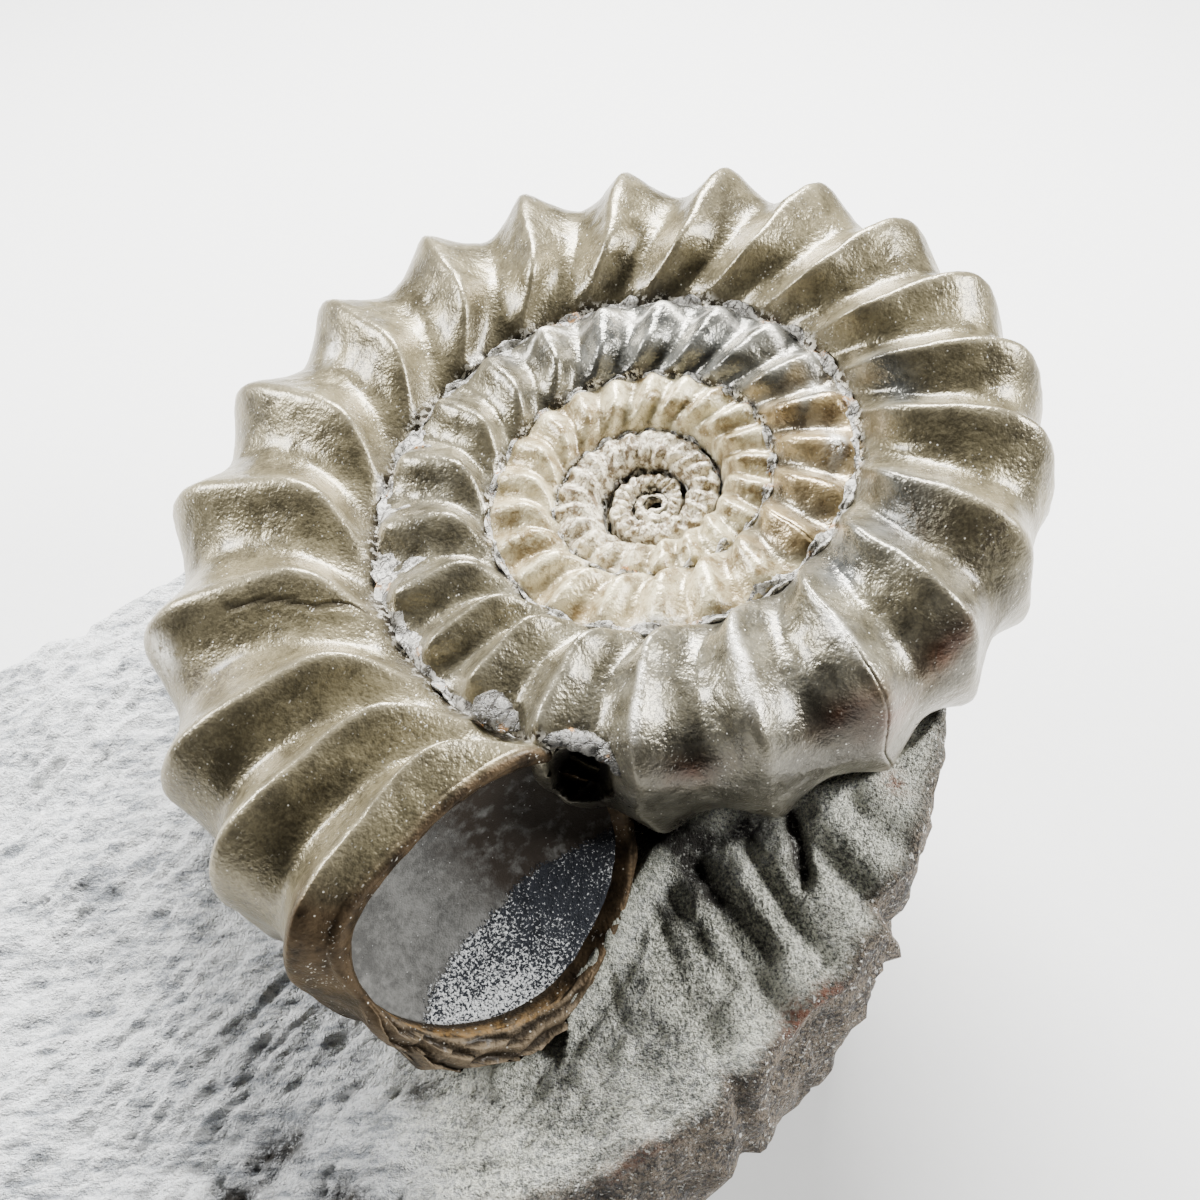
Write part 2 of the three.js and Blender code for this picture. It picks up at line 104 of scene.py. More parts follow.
# Noise that is smooth in space and the same on each run.
class StoneNoise:
    """Smooth noise over points; layers() adds ever finer noise."""

    def __init__(self, seed):
        draw = np.random.default_rng(seed)
        self.order = np.concatenate([draw.permutation(256)] * 3)
        slopes = draw.normal(size=(256, 3))
        self.slopes = slopes / np.linalg.norm(slopes, axis=1, keepdims=True)

    def __call__(self, points, size=1.0):
        scaled = np.asarray(points, float) / size
        cell = np.floor(scaled).astype(int)
        part = scaled - cell
        cell &= 255
        ease = part * part * part * (part * (part * 6 - 15) + 10)
        total = 0
        for dx in (0, 1):
            for dy in (0, 1):
                for dz in (0, 1):
                    corner = self.order[cell[..., 0] + dx]
                    corner = self.order[corner + cell[..., 1] + dy]
                    corner = self.order[corner + cell[..., 2] + dz]
                    away = part - (dx, dy, dz)
                    slope = (self.slopes[corner] * away).sum(-1)
                    weight = 1
                    for axis, d in enumerate((dx, dy, dz)):
                        weight = weight * (ease[..., axis] if d else 1 - ease[..., axis])
                    total = total + slope * weight
        return total * NOISE_LEVEL

    def layers(self, points, size, count=4, gain=0.5):
        total, high = 0, 1.0
        for i in range(count):
            total = total + high * self(np.asarray(points) + LAYER_SHIFT * i, size)
            high *= gain
            size *= 0.5
        return total


def ease_between(x, low, high):
    t = np.clip((x - low) / (high - low), 0, 1)
    return t * t * (3 - 2 * t)


def band(x, low, high, soft):
    return ease_between(x, low - soft, low + soft) * (1 - ease_between(x, high - soft, high + soft))


def near_line(points, line):
    """How far each point lies from a polyline, in the same plane."""
    best = np.full(points.shape[:-1], 1e9)
    for a, b in zip(line[:-1], line[1:]):
        a, b = np.array(a, float), np.array(b, float)
        along = np.clip(((points - a) @ (b - a)) / ((b - a) @ (b - a)), 0, 1)
        best = np.minimum(best, np.linalg.norm(points - a - along[..., None] * (b - a), axis=-1))
    return best


# The shell's form.
def rib_turns():
    turns = [-math.radians(d) for d in RIB_DEGREES]
    while len(turns) < RIB_COUNT:
        turns.append(turns[-1] - math.radians(INNER_RIB_STEP))
    ahead = [turns[0] + LIP_STEP * k for k in (1, 2, 3, 4)]
    return np.array(sorted(turns + ahead))


RIB_TURNS = rib_turns()
FIRST_RIB = -math.radians(RIB_DEGREES[0])


def rib_turn(count):
    """The turn of a rib counted back from the mouth."""
    return RIB_TURNS[len(RIB_TURNS) - 5 - count]


def growth(turn):
    t = np.maximum(turn, YOUNG_TURN)
    young = np.minimum(turn - YOUNG_TURN, 0)
    return np.exp(GROWTH * t + GROWTH_CURVE * t * t + YOUNG_GROWTH * young)


def widening(turn):
    return np.exp(INNER_WIDENING * np.maximum(turn, YOUNG_TURN))


def super_ellipse(t, shape):
    c, d = np.cos(t), np.sin(t)
    power = 2 / shape["square"]
    return (
        shape["out"] * np.sign(c) * np.abs(c) ** power,
        shape["side"] * np.sign(d) * np.abs(d) ** power,
    )


def inward(t):
    return np.abs(np.where(t > math.pi, t - TURN, t))


def section(t, weight):
    high, low = super_ellipse(t, CREST), super_ellipse(t, DIP)
    fade = 1 - RIB_FADE["share"] * ease_between(inward(t), RIB_FADE["start"], RIB_FADE["end"])
    return [a + (b - a) * weight * fade for a, b in zip(low, high)]


def lean(t):
    u = np.maximum(math.pi / 2 - inward(t), -LEAN_ENDS)
    return RIB_LEAN[0] * u + RIB_LEAN[1] * u ** 2 + RIB_LEAN[2] * u ** 3


def mouth_turn(t):
    return MOUTH["middle"] + MOUTH["side"] * np.sin(t) + MOUTH["out"] * np.cos(t)


def rib_weight(rest):
    """1 on a rib's crest and 0 midway between two ribs."""
    after = np.clip(np.searchsorted(RIB_TURNS, rest, side="right"), 1, len(RIB_TURNS) - 1)
    start, end = RIB_TURNS[after - 1], RIB_TURNS[after]
    part = np.clip((rest - start) / (end - start), 0, 1)
    away = 1 - np.abs(2 * part - 1)
    rounding = OLDER_ROUNDING + (CREST_ROUNDING - OLDER_ROUNDING) * ease_between(rest, *ROUNDED_RIBS)
    away = (np.hypot(away, rounding) - rounding) / (np.hypot(1, rounding) - rounding)
    sharp = (1 - away) ** RIB_SHARPNESS
    beaded = 0.5 + 0.5 * np.cos(TURN * part)
    young = 1 - ease_between(rest, *BEADED_RIBS)
    return (sharp + (beaded - sharp) * young) * (1 - YOUNG_FLATTENING * young)


def seated_weight(rest, t):
    """The rib weight, evened out where the next whorl lies over the older one's outer side."""
    weight = rib_weight(rest)
    covered = (1 - ease_between(rest, *COVERED_FROM)) * (1 - ease_between(inward(t), *COVERED_SIDE))
    return weight + (COVERED_WEIGHT - weight) * covered


def shell_points(turn, t, weight, scale=1.0):
    g = growth(turn) * REACH
    out, side = section(t, weight)
    r = g * (1 + out * scale)
    return np.stack([r * np.cos(turn), r * np.sin(turn), g * side * scale * widening(turn)], -1)


def section_angles(count):
    """Angles round the section, closer together where the flattened sides turn."""
    even = np.arange(count) * TURN / count
    return even - 0.75 * np.sin(4 * even) / 4


# Meshes.
def mesh_piece(name, points, faces, finish, masks=None, smooth=True, part_slot=None):
    corners = points[faces[:, :3].astype(int)] if len(faces) else points
    volume = np.einsum("ij,ij->i", corners[:, 0], np.cross(corners[:, 1], corners[:, 2])).sum()
    mesh = bpy.data.meshes.new(name)
    if volume < 0:
        faces = faces[:, ::-1]
    lists = [[int(v) for k, v in enumerate(f) if k == 0 or v != f[k - 1]] for f in faces]
    mesh.from_pydata((points * MM).tolist(), [], lists)
    for mask, values in (masks or {}).items():
        attribute = mesh.attributes.new(mask, "FLOAT", "POINT")
        attribute.data.foreach_set("value", np.asarray(values, np.float32).ravel())
    if smooth:
        mesh.shade_smooth()
    mesh.materials.append(finish)
    piece = bpy.data.objects.new(name, mesh)
    bpy.context.scene.collection.objects.link(piece)
    if part_slot:
        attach(piece, "root")
    return piece


def ring_faces(rows, columns):
    """Quads between rings, then a fan over each end; the two end points come last."""
    i, k = np.meshgrid(np.arange(rows - 1), np.arange(columns), indexing="ij")
    a = i * columns + k
    b = i * columns + (k + 1) % columns
    quads = np.stack([a, b, b + columns, a + columns], -1).reshape(-1, 4)
    ring = np.arange(columns)
    after = (ring + 1) % columns
    first, last = rows * columns, rows * columns + 1
    start = np.stack([after, ring, np.full(columns, first), np.full(columns, first)], -1)
    base = (rows - 1) * columns
    end = np.stack([base + ring, base + after, np.full(columns, last), np.full(columns, last)], -1)
    return np.concatenate([quads, start, end])


def ring_piece(name, rings, finish, masks=None, part_slot=None):
    """One closed body from rings of points; masks hold one value for each ring point."""
    rows, columns = rings.shape[:2]
    points = np.concatenate([rings.reshape(-1, 3), rings[:1].mean(1), rings[-1:].mean(1)])
    full = {}
    for mask, values in (masks or {}).items():
        full[mask] = np.concatenate([values.ravel(), values[:1].mean(1), values[-1:].mean(1)])
    return mesh_piece(name, points, ring_faces(rows, columns), finish, full, part_slot=part_slot)


def grid_normals(rings):
    along = np.gradient(rings, axis=0)
    around = np.roll(rings, -1, 1) - np.roll(rings, 1, 1)
    normals = np.cross(around, along)
    length = np.linalg.norm(normals, axis=-1, keepdims=True)
    return normals / np.maximum(length, 1e-9)


# Finishes.
class Socket:
    """One output of a finish's nodes; an expression on sockets adds the nodes that it needs."""

    def __init__(self, finish, source, kind="number"):
        self.finish, self.source, self.kind = finish, source, kind

    def _joined(self, operation, other, turned=False):
        pair = (other, self) if turned else (self, other)
        kinds = {getattr(p, "kind", "number") for p in pair}
        if "colour" in kinds:
            return self.finish.mixed(pair[0], pair[1], 1.0, operation)
        if "vector" in kinds:
            return self.finish.node(
                "ShaderNodeVectorMath", {"operation": operation}, dict(enumerate(pair)), kind="vector",
            )
        return self.finish.node("ShaderNodeMath", {"operation": operation}, dict(enumerate(pair)))

    def __add__(self, other):
        return self._joined("ADD", other)

    __radd__ = __add__

    def __sub__(self, other):
        return self._joined("SUBTRACT", other)

    def __rsub__(self, other):
        return self._joined("SUBTRACT", other, True)

    def __mul__(self, other):
        return self._joined("MULTIPLY", other)

    __rmul__ = __mul__

    def held(self):
        """Kept between 0 and 1."""
        raised = self.finish.node("ShaderNodeMath", {"operation": "MAXIMUM"}, {0: self, 1: 0.0})
        return self.finish.node("ShaderNodeMath", {"operation": "MINIMUM"}, {0: raised, 1: 1.0})

    def eased(self, low, high):
        """0 below the low value, 1 above the high one, and smooth between them."""
        return self.finish.node(
            "ShaderNodeMapRange", {"interpolation_type": "SMOOTHSTEP"},
            {0: self, 1: low, 2: high, 3: 0.0, 4: 1.0},
        )


class Finish:
    """A procedural material; its nodes are made by plain calls and by arithmetic on their sockets."""

    def __init__(self, name):
        self.material = bpy.data.materials.new(name)
        self.material.use_nodes = True
        self.nodes = self.material.node_tree.nodes
        self.links = self.material.node_tree.links
        self.shader = self.nodes["Principled BSDF"]
        coordinates = self.nodes.new("ShaderNodeTexCoord")
        self.place = self.node(
            "ShaderNodeVectorMath", {"operation": "SCALE"},
            {0: Socket(self, coordinates.outputs["Object"], "vector"), "Scale": 1 / MM}, kind="vector",
        )

    def feed(self, socket, value):
        if isinstance(value, Socket):
            self.links.new(value.source, socket)
        elif isinstance(value, (tuple, list)):
            size = len(socket.default_value)
            socket.default_value = (tuple(value) + (1.0,))[:size]
        elif hasattr(socket.default_value, "__len__"):
            socket.default_value = ((value,) * 3 + (1.0,))[:len(socket.default_value)]
        else:
            socket.default_value = value

    def node(self, kind_of_node, settings=None, sockets=None, out=0, kind="number"):
        made = self.nodes.new(kind_of_node)
        for setting, value in (settings or {}).items():
            setattr(made, setting, value)
        for socket, value in (sockets or {}).items():
            self.feed(made.inputs[socket], value)
        return Socket(self, made.outputs[out], kind)

    def mixed(self, first, second, share, blend="MIX"):
        return self.node(
            "ShaderNodeMix", {"data_type": "RGBA", "blend_type": blend, "clamp_factor": True},
            {0: share, 6: first, 7: second}, out=2, kind="colour",
        )

    def mask(self, name):
        return self.node("ShaderNodeAttribute", {"attribute_name": name}, out="Fac")

    def grain(self, size, detail=3.0, roughness=0.55, place=None, distortion=0.0):
        """Noise from 0 to 1 with features of about that many millimetres."""
        return self.node(
            "ShaderNodeTexNoise", {}, {
                "Vector": place or self.place, "Scale": 1 / size, "Detail": detail,
                "Roughness": roughness, "Distortion": distortion,
            },
        )

    def cells(self, size, feature="F1", place=None):
        """Distance in a pattern of cells of about that many millimetres."""
        return self.node(
            "ShaderNodeTexVoronoi", {"feature": feature},
            {"Vector": place or self.place, "Scale": 1 / size}, out="Distance",
        )

    def turned(self, angles, scale):
        return self.node(
            "ShaderNodeMapping", {}, {"Vector": self.place, "Rotation": angles, "Scale": scale},
            kind="vector",
        )

    def bump(self, height, depth, strength=1.0):
        """Relief of that many millimetres."""
        sockets = {"Height": height, "Distance": depth * MM, "Strength": strength}
        return self.node("ShaderNodeBump", {}, sockets, kind="vector")

    def finished(self, **sockets):
        for name, value in sockets.items():
            self.feed(self.shader.inputs[name.replace("_", " ")], value)
        return self.material


def shell_finish():
    """Satin olive-taupe shell, warm and cream towards the middle of the coil."""
    f = Finish("satin_shell")
    crest, honey, cream, slate, pearl = (f.mask(m) for m in ("crest", "honey", "cream", "slate", "pearl"))
    stain, worn, deep, pale, crack = (f.mask(m) for m in ("stain", "worn", "deep", "pale", "crack"))
    rim, flaky, ochre, strata = (f.mask(m) for m in ("rim", "flaky", "ochre", "strata"))
    seam, pit = f.mask("seam"), f.mask("pit")
    cloudy = f.grain(2.6, 3, 0.6)
    fine = f.grain(0.14, 2, 0.6)
    mottled = f.grain(0.7, 4, 0.64)
    crinkled = f.grain(0.3, 4, 0.7)
    speckled = f.grain(0.10, 1, 0.7)
    tone = (cloudy * 0.4 + mottled * 0.35 + speckled * 0.25).eased(0.38, 0.62)
    colour = f.mixed((0.056, 0.047, 0.027), (0.190, 0.163, 0.094), tone)
    # Paler rib crests: partly worn pale lines, partly a painted highlight.
    colour = f.mixed(colour, (0.30, 0.265, 0.18), (crest * (0.15 + fine * 0.5)).held())
    # Painted shade: darker on the whorls' undersides and where a whorl sits on the one before; the band by
    # the outer whorl's venter near the rock is partly brown dirt, partly painted shade.
    colour = f.mixed(colour, (0.038, 0.032, 0.020), (deep * 0.7).held())
    blue_grey = f.mixed((0.040, 0.044, 0.047), (0.150, 0.156, 0.150), mottled.eased(0.34, 0.66))
    colour = f.mixed(colour, blue_grey, (slate * 0.9).held())
    amber = f.mixed((0.14, 0.082, 0.026), (0.44, 0.315, 0.135), mottled.eased(0.32, 0.64))
    colour = f.mixed(colour, amber, (honey * 0.85).held())
    crackled = (mottled * 0.6 + crinkled * 0.4).eased(0.38, 0.58)
    ivory = f.mixed((0.19, 0.135, 0.060), (0.74, 0.66, 0.42), crackled)
    colour = f.mixed(colour, ivory, (cream * (1 - honey * 0.7)).held())
    chalky = f.mixed((0.13, 0.095, 0.055), (0.70, 0.64, 0.49), crinkled.eased(0.40, 0.57))
    colour = f.mixed(colour, chalky, pearl)
    lines = 1 - f.cells(0.42, "DISTANCE_TO_EDGE", f.place + f.grain(0.5, 2) * 1.1).eased(0.0, 0.045)
    colour = f.mixed(colour, (0.08, 0.05, 0.025), (lines * (cream * 0.55 + pearl * 0.7)).held())
    reddish = f.mixed((0.022, 0.010, 0.006), (0.15, 0.055, 0.024), cloudy.eased(0.3, 0.7))
    colour = f.mixed(colour, reddish, (stain * mottled.eased(0.2, 0.5) * 1.1).held())
    colour = f.mixed(colour, (0.050, 0.040, 0.026), (worn * fine.eased(0.35, 0.6) * 0.9).held())
    # Dark brown on the mouth's rim: partly the broken edge's own brown, partly painted shade where the lip
    # rolls in towards the cavity.
    bark = f.mixed((0.012, 0.007, 0.004), (0.075, 0.050, 0.027), mottled.eased(0.3, 0.65))
    colour = f.mixed(colour, bark, (rim * 1.1).held())
    layered = f.grain(0.26, 3, 0.72, f.turned((0.3, 0.5, 0.1), (1, 1, 3.5)))
    layers = (layered * 0.5 + strata * 0.42 + 0.04).eased(0.36, 0.64)
    torn = f.mixed((0.014, 0.009, 0.005), (0.165, 0.125, 0.080), layers)
    colour = f.mixed(colour, torn, (flaky * 0.9).held())
    colour = f.mixed(colour, (0.33, 0.185, 0.055), (ochre * crinkled.eased(0.35, 0.6) * 0.6).held())
    crumbly = f.grain(0.22, 3, 0.7).eased(0.50, 0.57)
    seamed = f.mixed((0.016, 0.012, 0.008), (0.66, 0.63, 0.55), crumbly)
    colour = f.mixed(colour, seamed, (seam * 1.3 - 0.2).held())
    powder = (pale * (0.4 + fine) * crinkled.eased(0.32, 0.56) * 1.4).held()
    colour = f.mixed(colour, (0.82, 0.79, 0.70), powder)
    # Painted shade: the pit's inside is near-black.
    colour = f.mixed(colour, (0.004, 0.003, 0.003), pit)
    wander = f.place + f.grain(1.1, 2) * 1.2
    branching = 1 - f.cells(2.4, "DISTANCE_TO_EDGE", wander).eased(0.0, 0.010)
    veins = branching * f.grain(3.0, 2).eased(0.54, 0.64)
    colour = f.mixed(colour, (0.030, 0.024, 0.015), (veins * 0.5 + crack * 0.9).held())
    specks = (1 - f.cells(0.27).eased(0.04, 0.13)) * f.grain(1.1, 2).eased(0.40, 0.60)
    grit = 1 - f.cells(0.12, place=f.place + f.grain(0.3, 2) * 0.3).eased(0.10, 0.26)
    dust = grit * f.grain(0.8, 2, 0.65).eased(0.50, 0.62)
    colour = f.mixed(colour, (0.82, 0.79, 0.70), ((specks + dust * 0.45) * (1 - pit)).held())
    leathery = f.cells(0.13) * 0.5 + f.grain(0.09, 1) * 0.6
    rough_parts = (worn + flaky + powder) * fine * 2.2 + (cream * 0.8 + pearl * 2.0) * crinkled
    pebbled = f.grain(0.3, 2, 0.5)
    height = leathery * 0.55 + speckled * 0.6 + pebbled * 0.9 + mottled * 1.2 - seam * 1.5 - crack * 2
    height = height + rough_parts + (layered * 1.5 + strata * 3.5) * flaky
    roughness = 0.335 + (mottled - 0.5) * 0.3 + specks * 0.3 + (worn + flaky) * 0.2
    roughness = roughness + pearl * 0.1 + rim * 0.2 - slate * 0.08
    return f.finished(
        Base_Color=colour, Roughness=(roughness + pit).held(), Normal=f.bump(height, 0.026, 1.0),
        Metallic=(0.46 - cream * 0.35 - pearl * 0.4 + rim * 0.35 - flaky * 0.3 - pit - powder * 0.4).held(),
        Specular_IOR_Level=0.62, Specular_Tint=(1.0, 0.92, 0.75), Coat_Roughness=0.2,
        Coat_Weight=(0.28 - pit - rim * 0.22).held(),
    )


def sediment_finish():
    """Mid-grey smooth fill, with a dark granular half like salt and pepper."""
    f = Finish("mouth_sediment")
    coarse, brown, shade, pit = (f.mask(m) for m in ("coarse", "brown", "shade", "pit"))
    edge = f.grain(0.5, 4, 0.65)
    granular = (coarse + (edge - 0.5) * 0.8 + (f.grain(0.09, 2, 0.7) - 0.5) * 0.9).eased(0.42, 0.58)
    silty = (f.grain(1.6, 5, 0.6) * 0.6 + f.grain(0.2, 4, 0.7) * 0.4).eased(0.36, 0.64)
    smooth = f.mixed((0.062, 0.061, 0.057), (0.150, 0.148, 0.138), silty)
    grains = f.grain(0.075, 2, 0.75)
    dark_part = f.grain(1.3, 3, 0.6)
    salted = (grains + (dark_part - 0.5) * 0.3 - shade * 0.15 + 0.02).eased(0.45, 0.60)
    pepper = f.mixed((0.010, 0.012, 0.017), (0.62, 0.63, 0.63), salted)
    colour = f.mixed(smooth, pepper, granular)
    # Darker towards the dish's inner side, partly brown fill, partly painted shade; painted shade along its
    # top edge under the shell.
    brown_and_shade = (brown * 1.25 * (1 - granular) * f.grain(0.5, 5, 0.65).eased(0.22, 0.6)).held()
    colour = f.mixed(colour, (0.021, 0.015, 0.010), brown_and_shade)
    dust = (1 - f.cells(0.22).eased(0.04, 0.1)) * f.grain(0.9, 2).eased(0.4, 0.6)
    colour = f.mixed(colour, (0.6, 0.6, 0.58), (dust * 0.7).held())
    # Painted shade: the pit's inside is near-black.
    colour = f.mixed(colour, (0.004, 0.003, 0.003), pit)
    normal = f.bump(grains * granular * 1.6 + f.grain(0.05, 2) * 0.5 + dust * 0.4, 0.05, 0.9)
    return f.finished(Base_Color=colour, Roughness=0.72, Specular_IOR_Level=0.25, Normal=normal)


def crust_finish(name, dark, pale, roughness):
    """Flaky seam crust with dark lines and rusty specks."""
    f = Finish(name)
    flakes = f.grain(0.24, 5, 0.7, distortion=0.8)
    colour = f.mixed(dark, pale, flakes.eased(0.38, 0.56))
    lines = 1 - f.cells(0.5, "DISTANCE_TO_EDGE", f.place + f.grain(0.4, 3) * 0.7).eased(0.01, 0.06)
    colour = f.mixed(colour, (0.045, 0.04, 0.035), (lines * 0.7).held())
    rust = f.grain(0.9, 3).eased(0.58, 0.66) * f.grain(0.2, 3).eased(0.4, 0.6)
    colour = f.mixed(colour, (0.46, 0.23, 0.07), (rust * 0.9).held())
    normal = f.bump(flakes - lines * 0.6 + f.grain(0.07, 3) * 0.5, 0.07, 1.0)
    return f.finished(Base_Color=colour, Roughness=roughness, Normal=normal)


def matrix_finish():
    """Pale streaky stone, grey and granular in the bowl, brown on its broken side."""
    f = Finish("matrix_stone")
    side, bowl, rust, olive, shade = (f.mask(m) for m in ("side", "bowl", "rust", "olive", "shade"))
    grains = f.grain(0.075, 2, 0.78)
    coarse = f.grain(0.20, 3, 0.72)
    streaks = f.grain(0.55, 4, 0.70, f.turned((0.0, 0.0, -0.85), (0.35, 1.6, 1.0)))
    cloudy = f.grain(3.2, 2, 0.6)
    streaky = (streaks * 0.65 + cloudy * 0.2 + grains * 0.15).eased(0.38, 0.58)
    pale = f.mixed((0.22, 0.235, 0.25), (0.72, 0.73, 0.73), streaky)
    grainy = (grains * 0.45 + coarse * 0.35 + cloudy * 0.2).eased(0.40, 0.60)
    grey = f.mixed((0.095, 0.097, 0.076), (0.82, 0.82, 0.69), grainy)
    colour = f.mixed(pale, grey, (bowl + (coarse - 0.5) * 0.8).held())
    greenish = f.mixed((0.10, 0.105, 0.08), (0.27, 0.275, 0.22), coarse.eased(0.35, 0.65))
    colour = f.mixed(colour, greenish, (olive * 0.8).held())
    patchy = f.grain(1.2, 3, 0.7)
    broken = (f.grain(0.11, 2, 0.7) * 0.5 + coarse * 0.2 + patchy * 0.3).eased(0.42, 0.60)
    brown = f.mixed((0.014, 0.010, 0.007), (0.165, 0.130, 0.092), broken)
    colour = f.mixed(colour, brown, (side + (coarse - 0.5) * 0.7).held())
    colour = f.mixed(colour, (0.16, 0.060, 0.032), (rust * coarse.eased(0.35, 0.6)).held())
    # Painted shade: near-black under the shell's edge and in the front hollows.
    colour = f.mixed(colour, (0.016, 0.013, 0.009), (shade * coarse.eased(0.28, 0.5) * 1.2).held())
    flecks = f.grain(0.13, 1, 0.6).eased(0.62, 0.69) * 0.8
    colour = f.mixed(colour, (0.03, 0.03, 0.032), (flecks * 0.5).held())
    chips = f.grain(0.16, 2, 0.7).eased(0.60, 0.68)
    colour = f.mixed(colour, (0.80, 0.79, 0.73), (chips * (0.25 + side * 0.2 + bowl * 0.25)).held())
    normal = f.bump(grains * 0.8 + coarse * 1.2 + streaks * 1.1, 0.14, 1.0)
    return f.finished(Base_Color=colour, Roughness=0.82, Normal=normal)


def floor_finish():
    f = Finish("pale_floor")
    paper = f.grain(0.6, 2, 0.6)
    colour = f.mixed((0.62, 0.62, 0.61), (0.66, 0.66, 0.65), paper)
    return f.finished(Base_Color=colour, Roughness=0.8)


SEAM_SEARCH = (0.6, 0.82)


def flank(r, turn, weight):
    """Height of a whorl's upper side at a reach; far below the coil's plane where there is no whorl."""
    g = growth(turn) * REACH
    out, side, square = (DIP[k] + (CREST[k] - DIP[k]) * weight for k in ("out", "side", "square"))
    part = np.abs(r / g - 1) / out
    height = g * side * widening(turn) * (1 - np.clip(part, 0, 1) ** square) ** (1 / square)
    return np.where(part < 1, height, -9.0)


def older_flank(r, turns):
    """The upper side of the whorl before, with its ribs evened out towards the seam."""
    turn = turns - TURN
    part = np.clip((r / (growth(turn) * REACH) - 1) / 0.344, 0, 1)
    t = np.arccos(part ** 1.28)
    return flank(r, turn, seated_weight(turn - lean(0.9), t))


def seam_line(turns):
    """Reach and height of the seam at each turn."""
    reach = np.linspace(*SEAM_SEARCH, 240)[None, :] * growth(turns)[:, None] * REACH
    newer = flank(reach, turns[:, None], 0.1)
    older = flank(reach, turns[:, None] - TURN, COVERED_WEIGHT)
    at = (newer > older).argmax(1)
    rows = np.arange(len(turns))
    return reach[rows, at], newer[rows, at]


SEAM_TURNS = np.arange(-40, 0.4, 0.05)
SEAM_REACH = seam_line(SEAM_TURNS)[0]

# The shell's colours and relief by place along the coil.
RELIEF = StoneNoise(11)
FINE_RELIEF = StoneNoise(23)


def spot(rest, t, turn, place, long, high):
    """A soft mark at a turn and a place round the section."""
    return np.exp(-((rest - turn) / long) ** 2 - ((t - place) / high) ** 2)


def marks(rest, t, places):
    return np.clip(sum(spot(rest, t, *place) for place in places), 0, 1)


# Marks seen on the shell: turn, place round the section, length along the coil, height.
REDDISH_MARKS = (
    (-5.34, 0.62, 0.09, 0.22), (-5.24, 0.28, 0.07, 0.2), (-5.02, 0.55, 0.08, 0.22), (-5.75, 0.55, 0.08, 0.18),
)
WORN_MARKS = (
    (-0.66, 1.25, 0.07, 0.22), (-0.72, 0.95, 0.05, 0.16), (-4.78, 1.5, 0.09, 0.3), (-4.74, 0.9, 0.1, 0.25),
)
PALE_MARKS = (
    (-5.555, 1.5, 0.018, 0.3), (-5.25, 1.4, 0.015, 0.2), (-5.885, 1.32, 0.014, 0.3),
    (-0.80, 0.78, 0.03, 0.12), (-1.70, 1.3, 0.03, 0.08), (-10.2, 1.25, 0.06, 0.12),
    (-10.6, 1.3, 0.08, 0.13), (-12.1, 1.04, 0.12, 0.14),
    (-9.15, 1.3, 0.3, 0.09), (-9.8, 1.25, 0.2, 0.08), (-8.5, 1.25, 0.15, 0.07),
)
BLUISH_MARKS = ((-4.8, 1.72, 0.16, 0.25), (-5.07, 1.9, 0.1, 0.25), (-4.2, 1.9, 0.15, 0.2))
CRACK = ((-0.81, 1.50), (-0.78, 1.91), (-0.85, 2.35))
LEDGE_TURN = -12.43


SEAM_WIDTH = {"share": 0.017, "least": 0.06}


def seam_nearness(rest, points):
    """1 on the seams at both edges of a whorl's upper side."""
    reach = np.hypot(points[..., 0], points[..., 1])
    turn = np.arctan2(points[..., 1], points[..., 0])
    turn = turn + TURN * np.round((rest - turn) / TURN)
    wide = np.maximum(SEAM_WIDTH["share"] * growth(turn) * REACH, SEAM_WIDTH["least"])
    wander = 0.5 * wide * FINE_RELIEF.layers(points, 0.6, 3)
    near = 0
    for later in (turn, turn + TURN):
        away = reach + wander - np.interp(later, SEAM_TURNS, SEAM_REACH)
        near = np.maximum(near, np.exp(-(away / wide) ** 2) * (later < 0.15))
    return near * (points[..., 2] > 0)


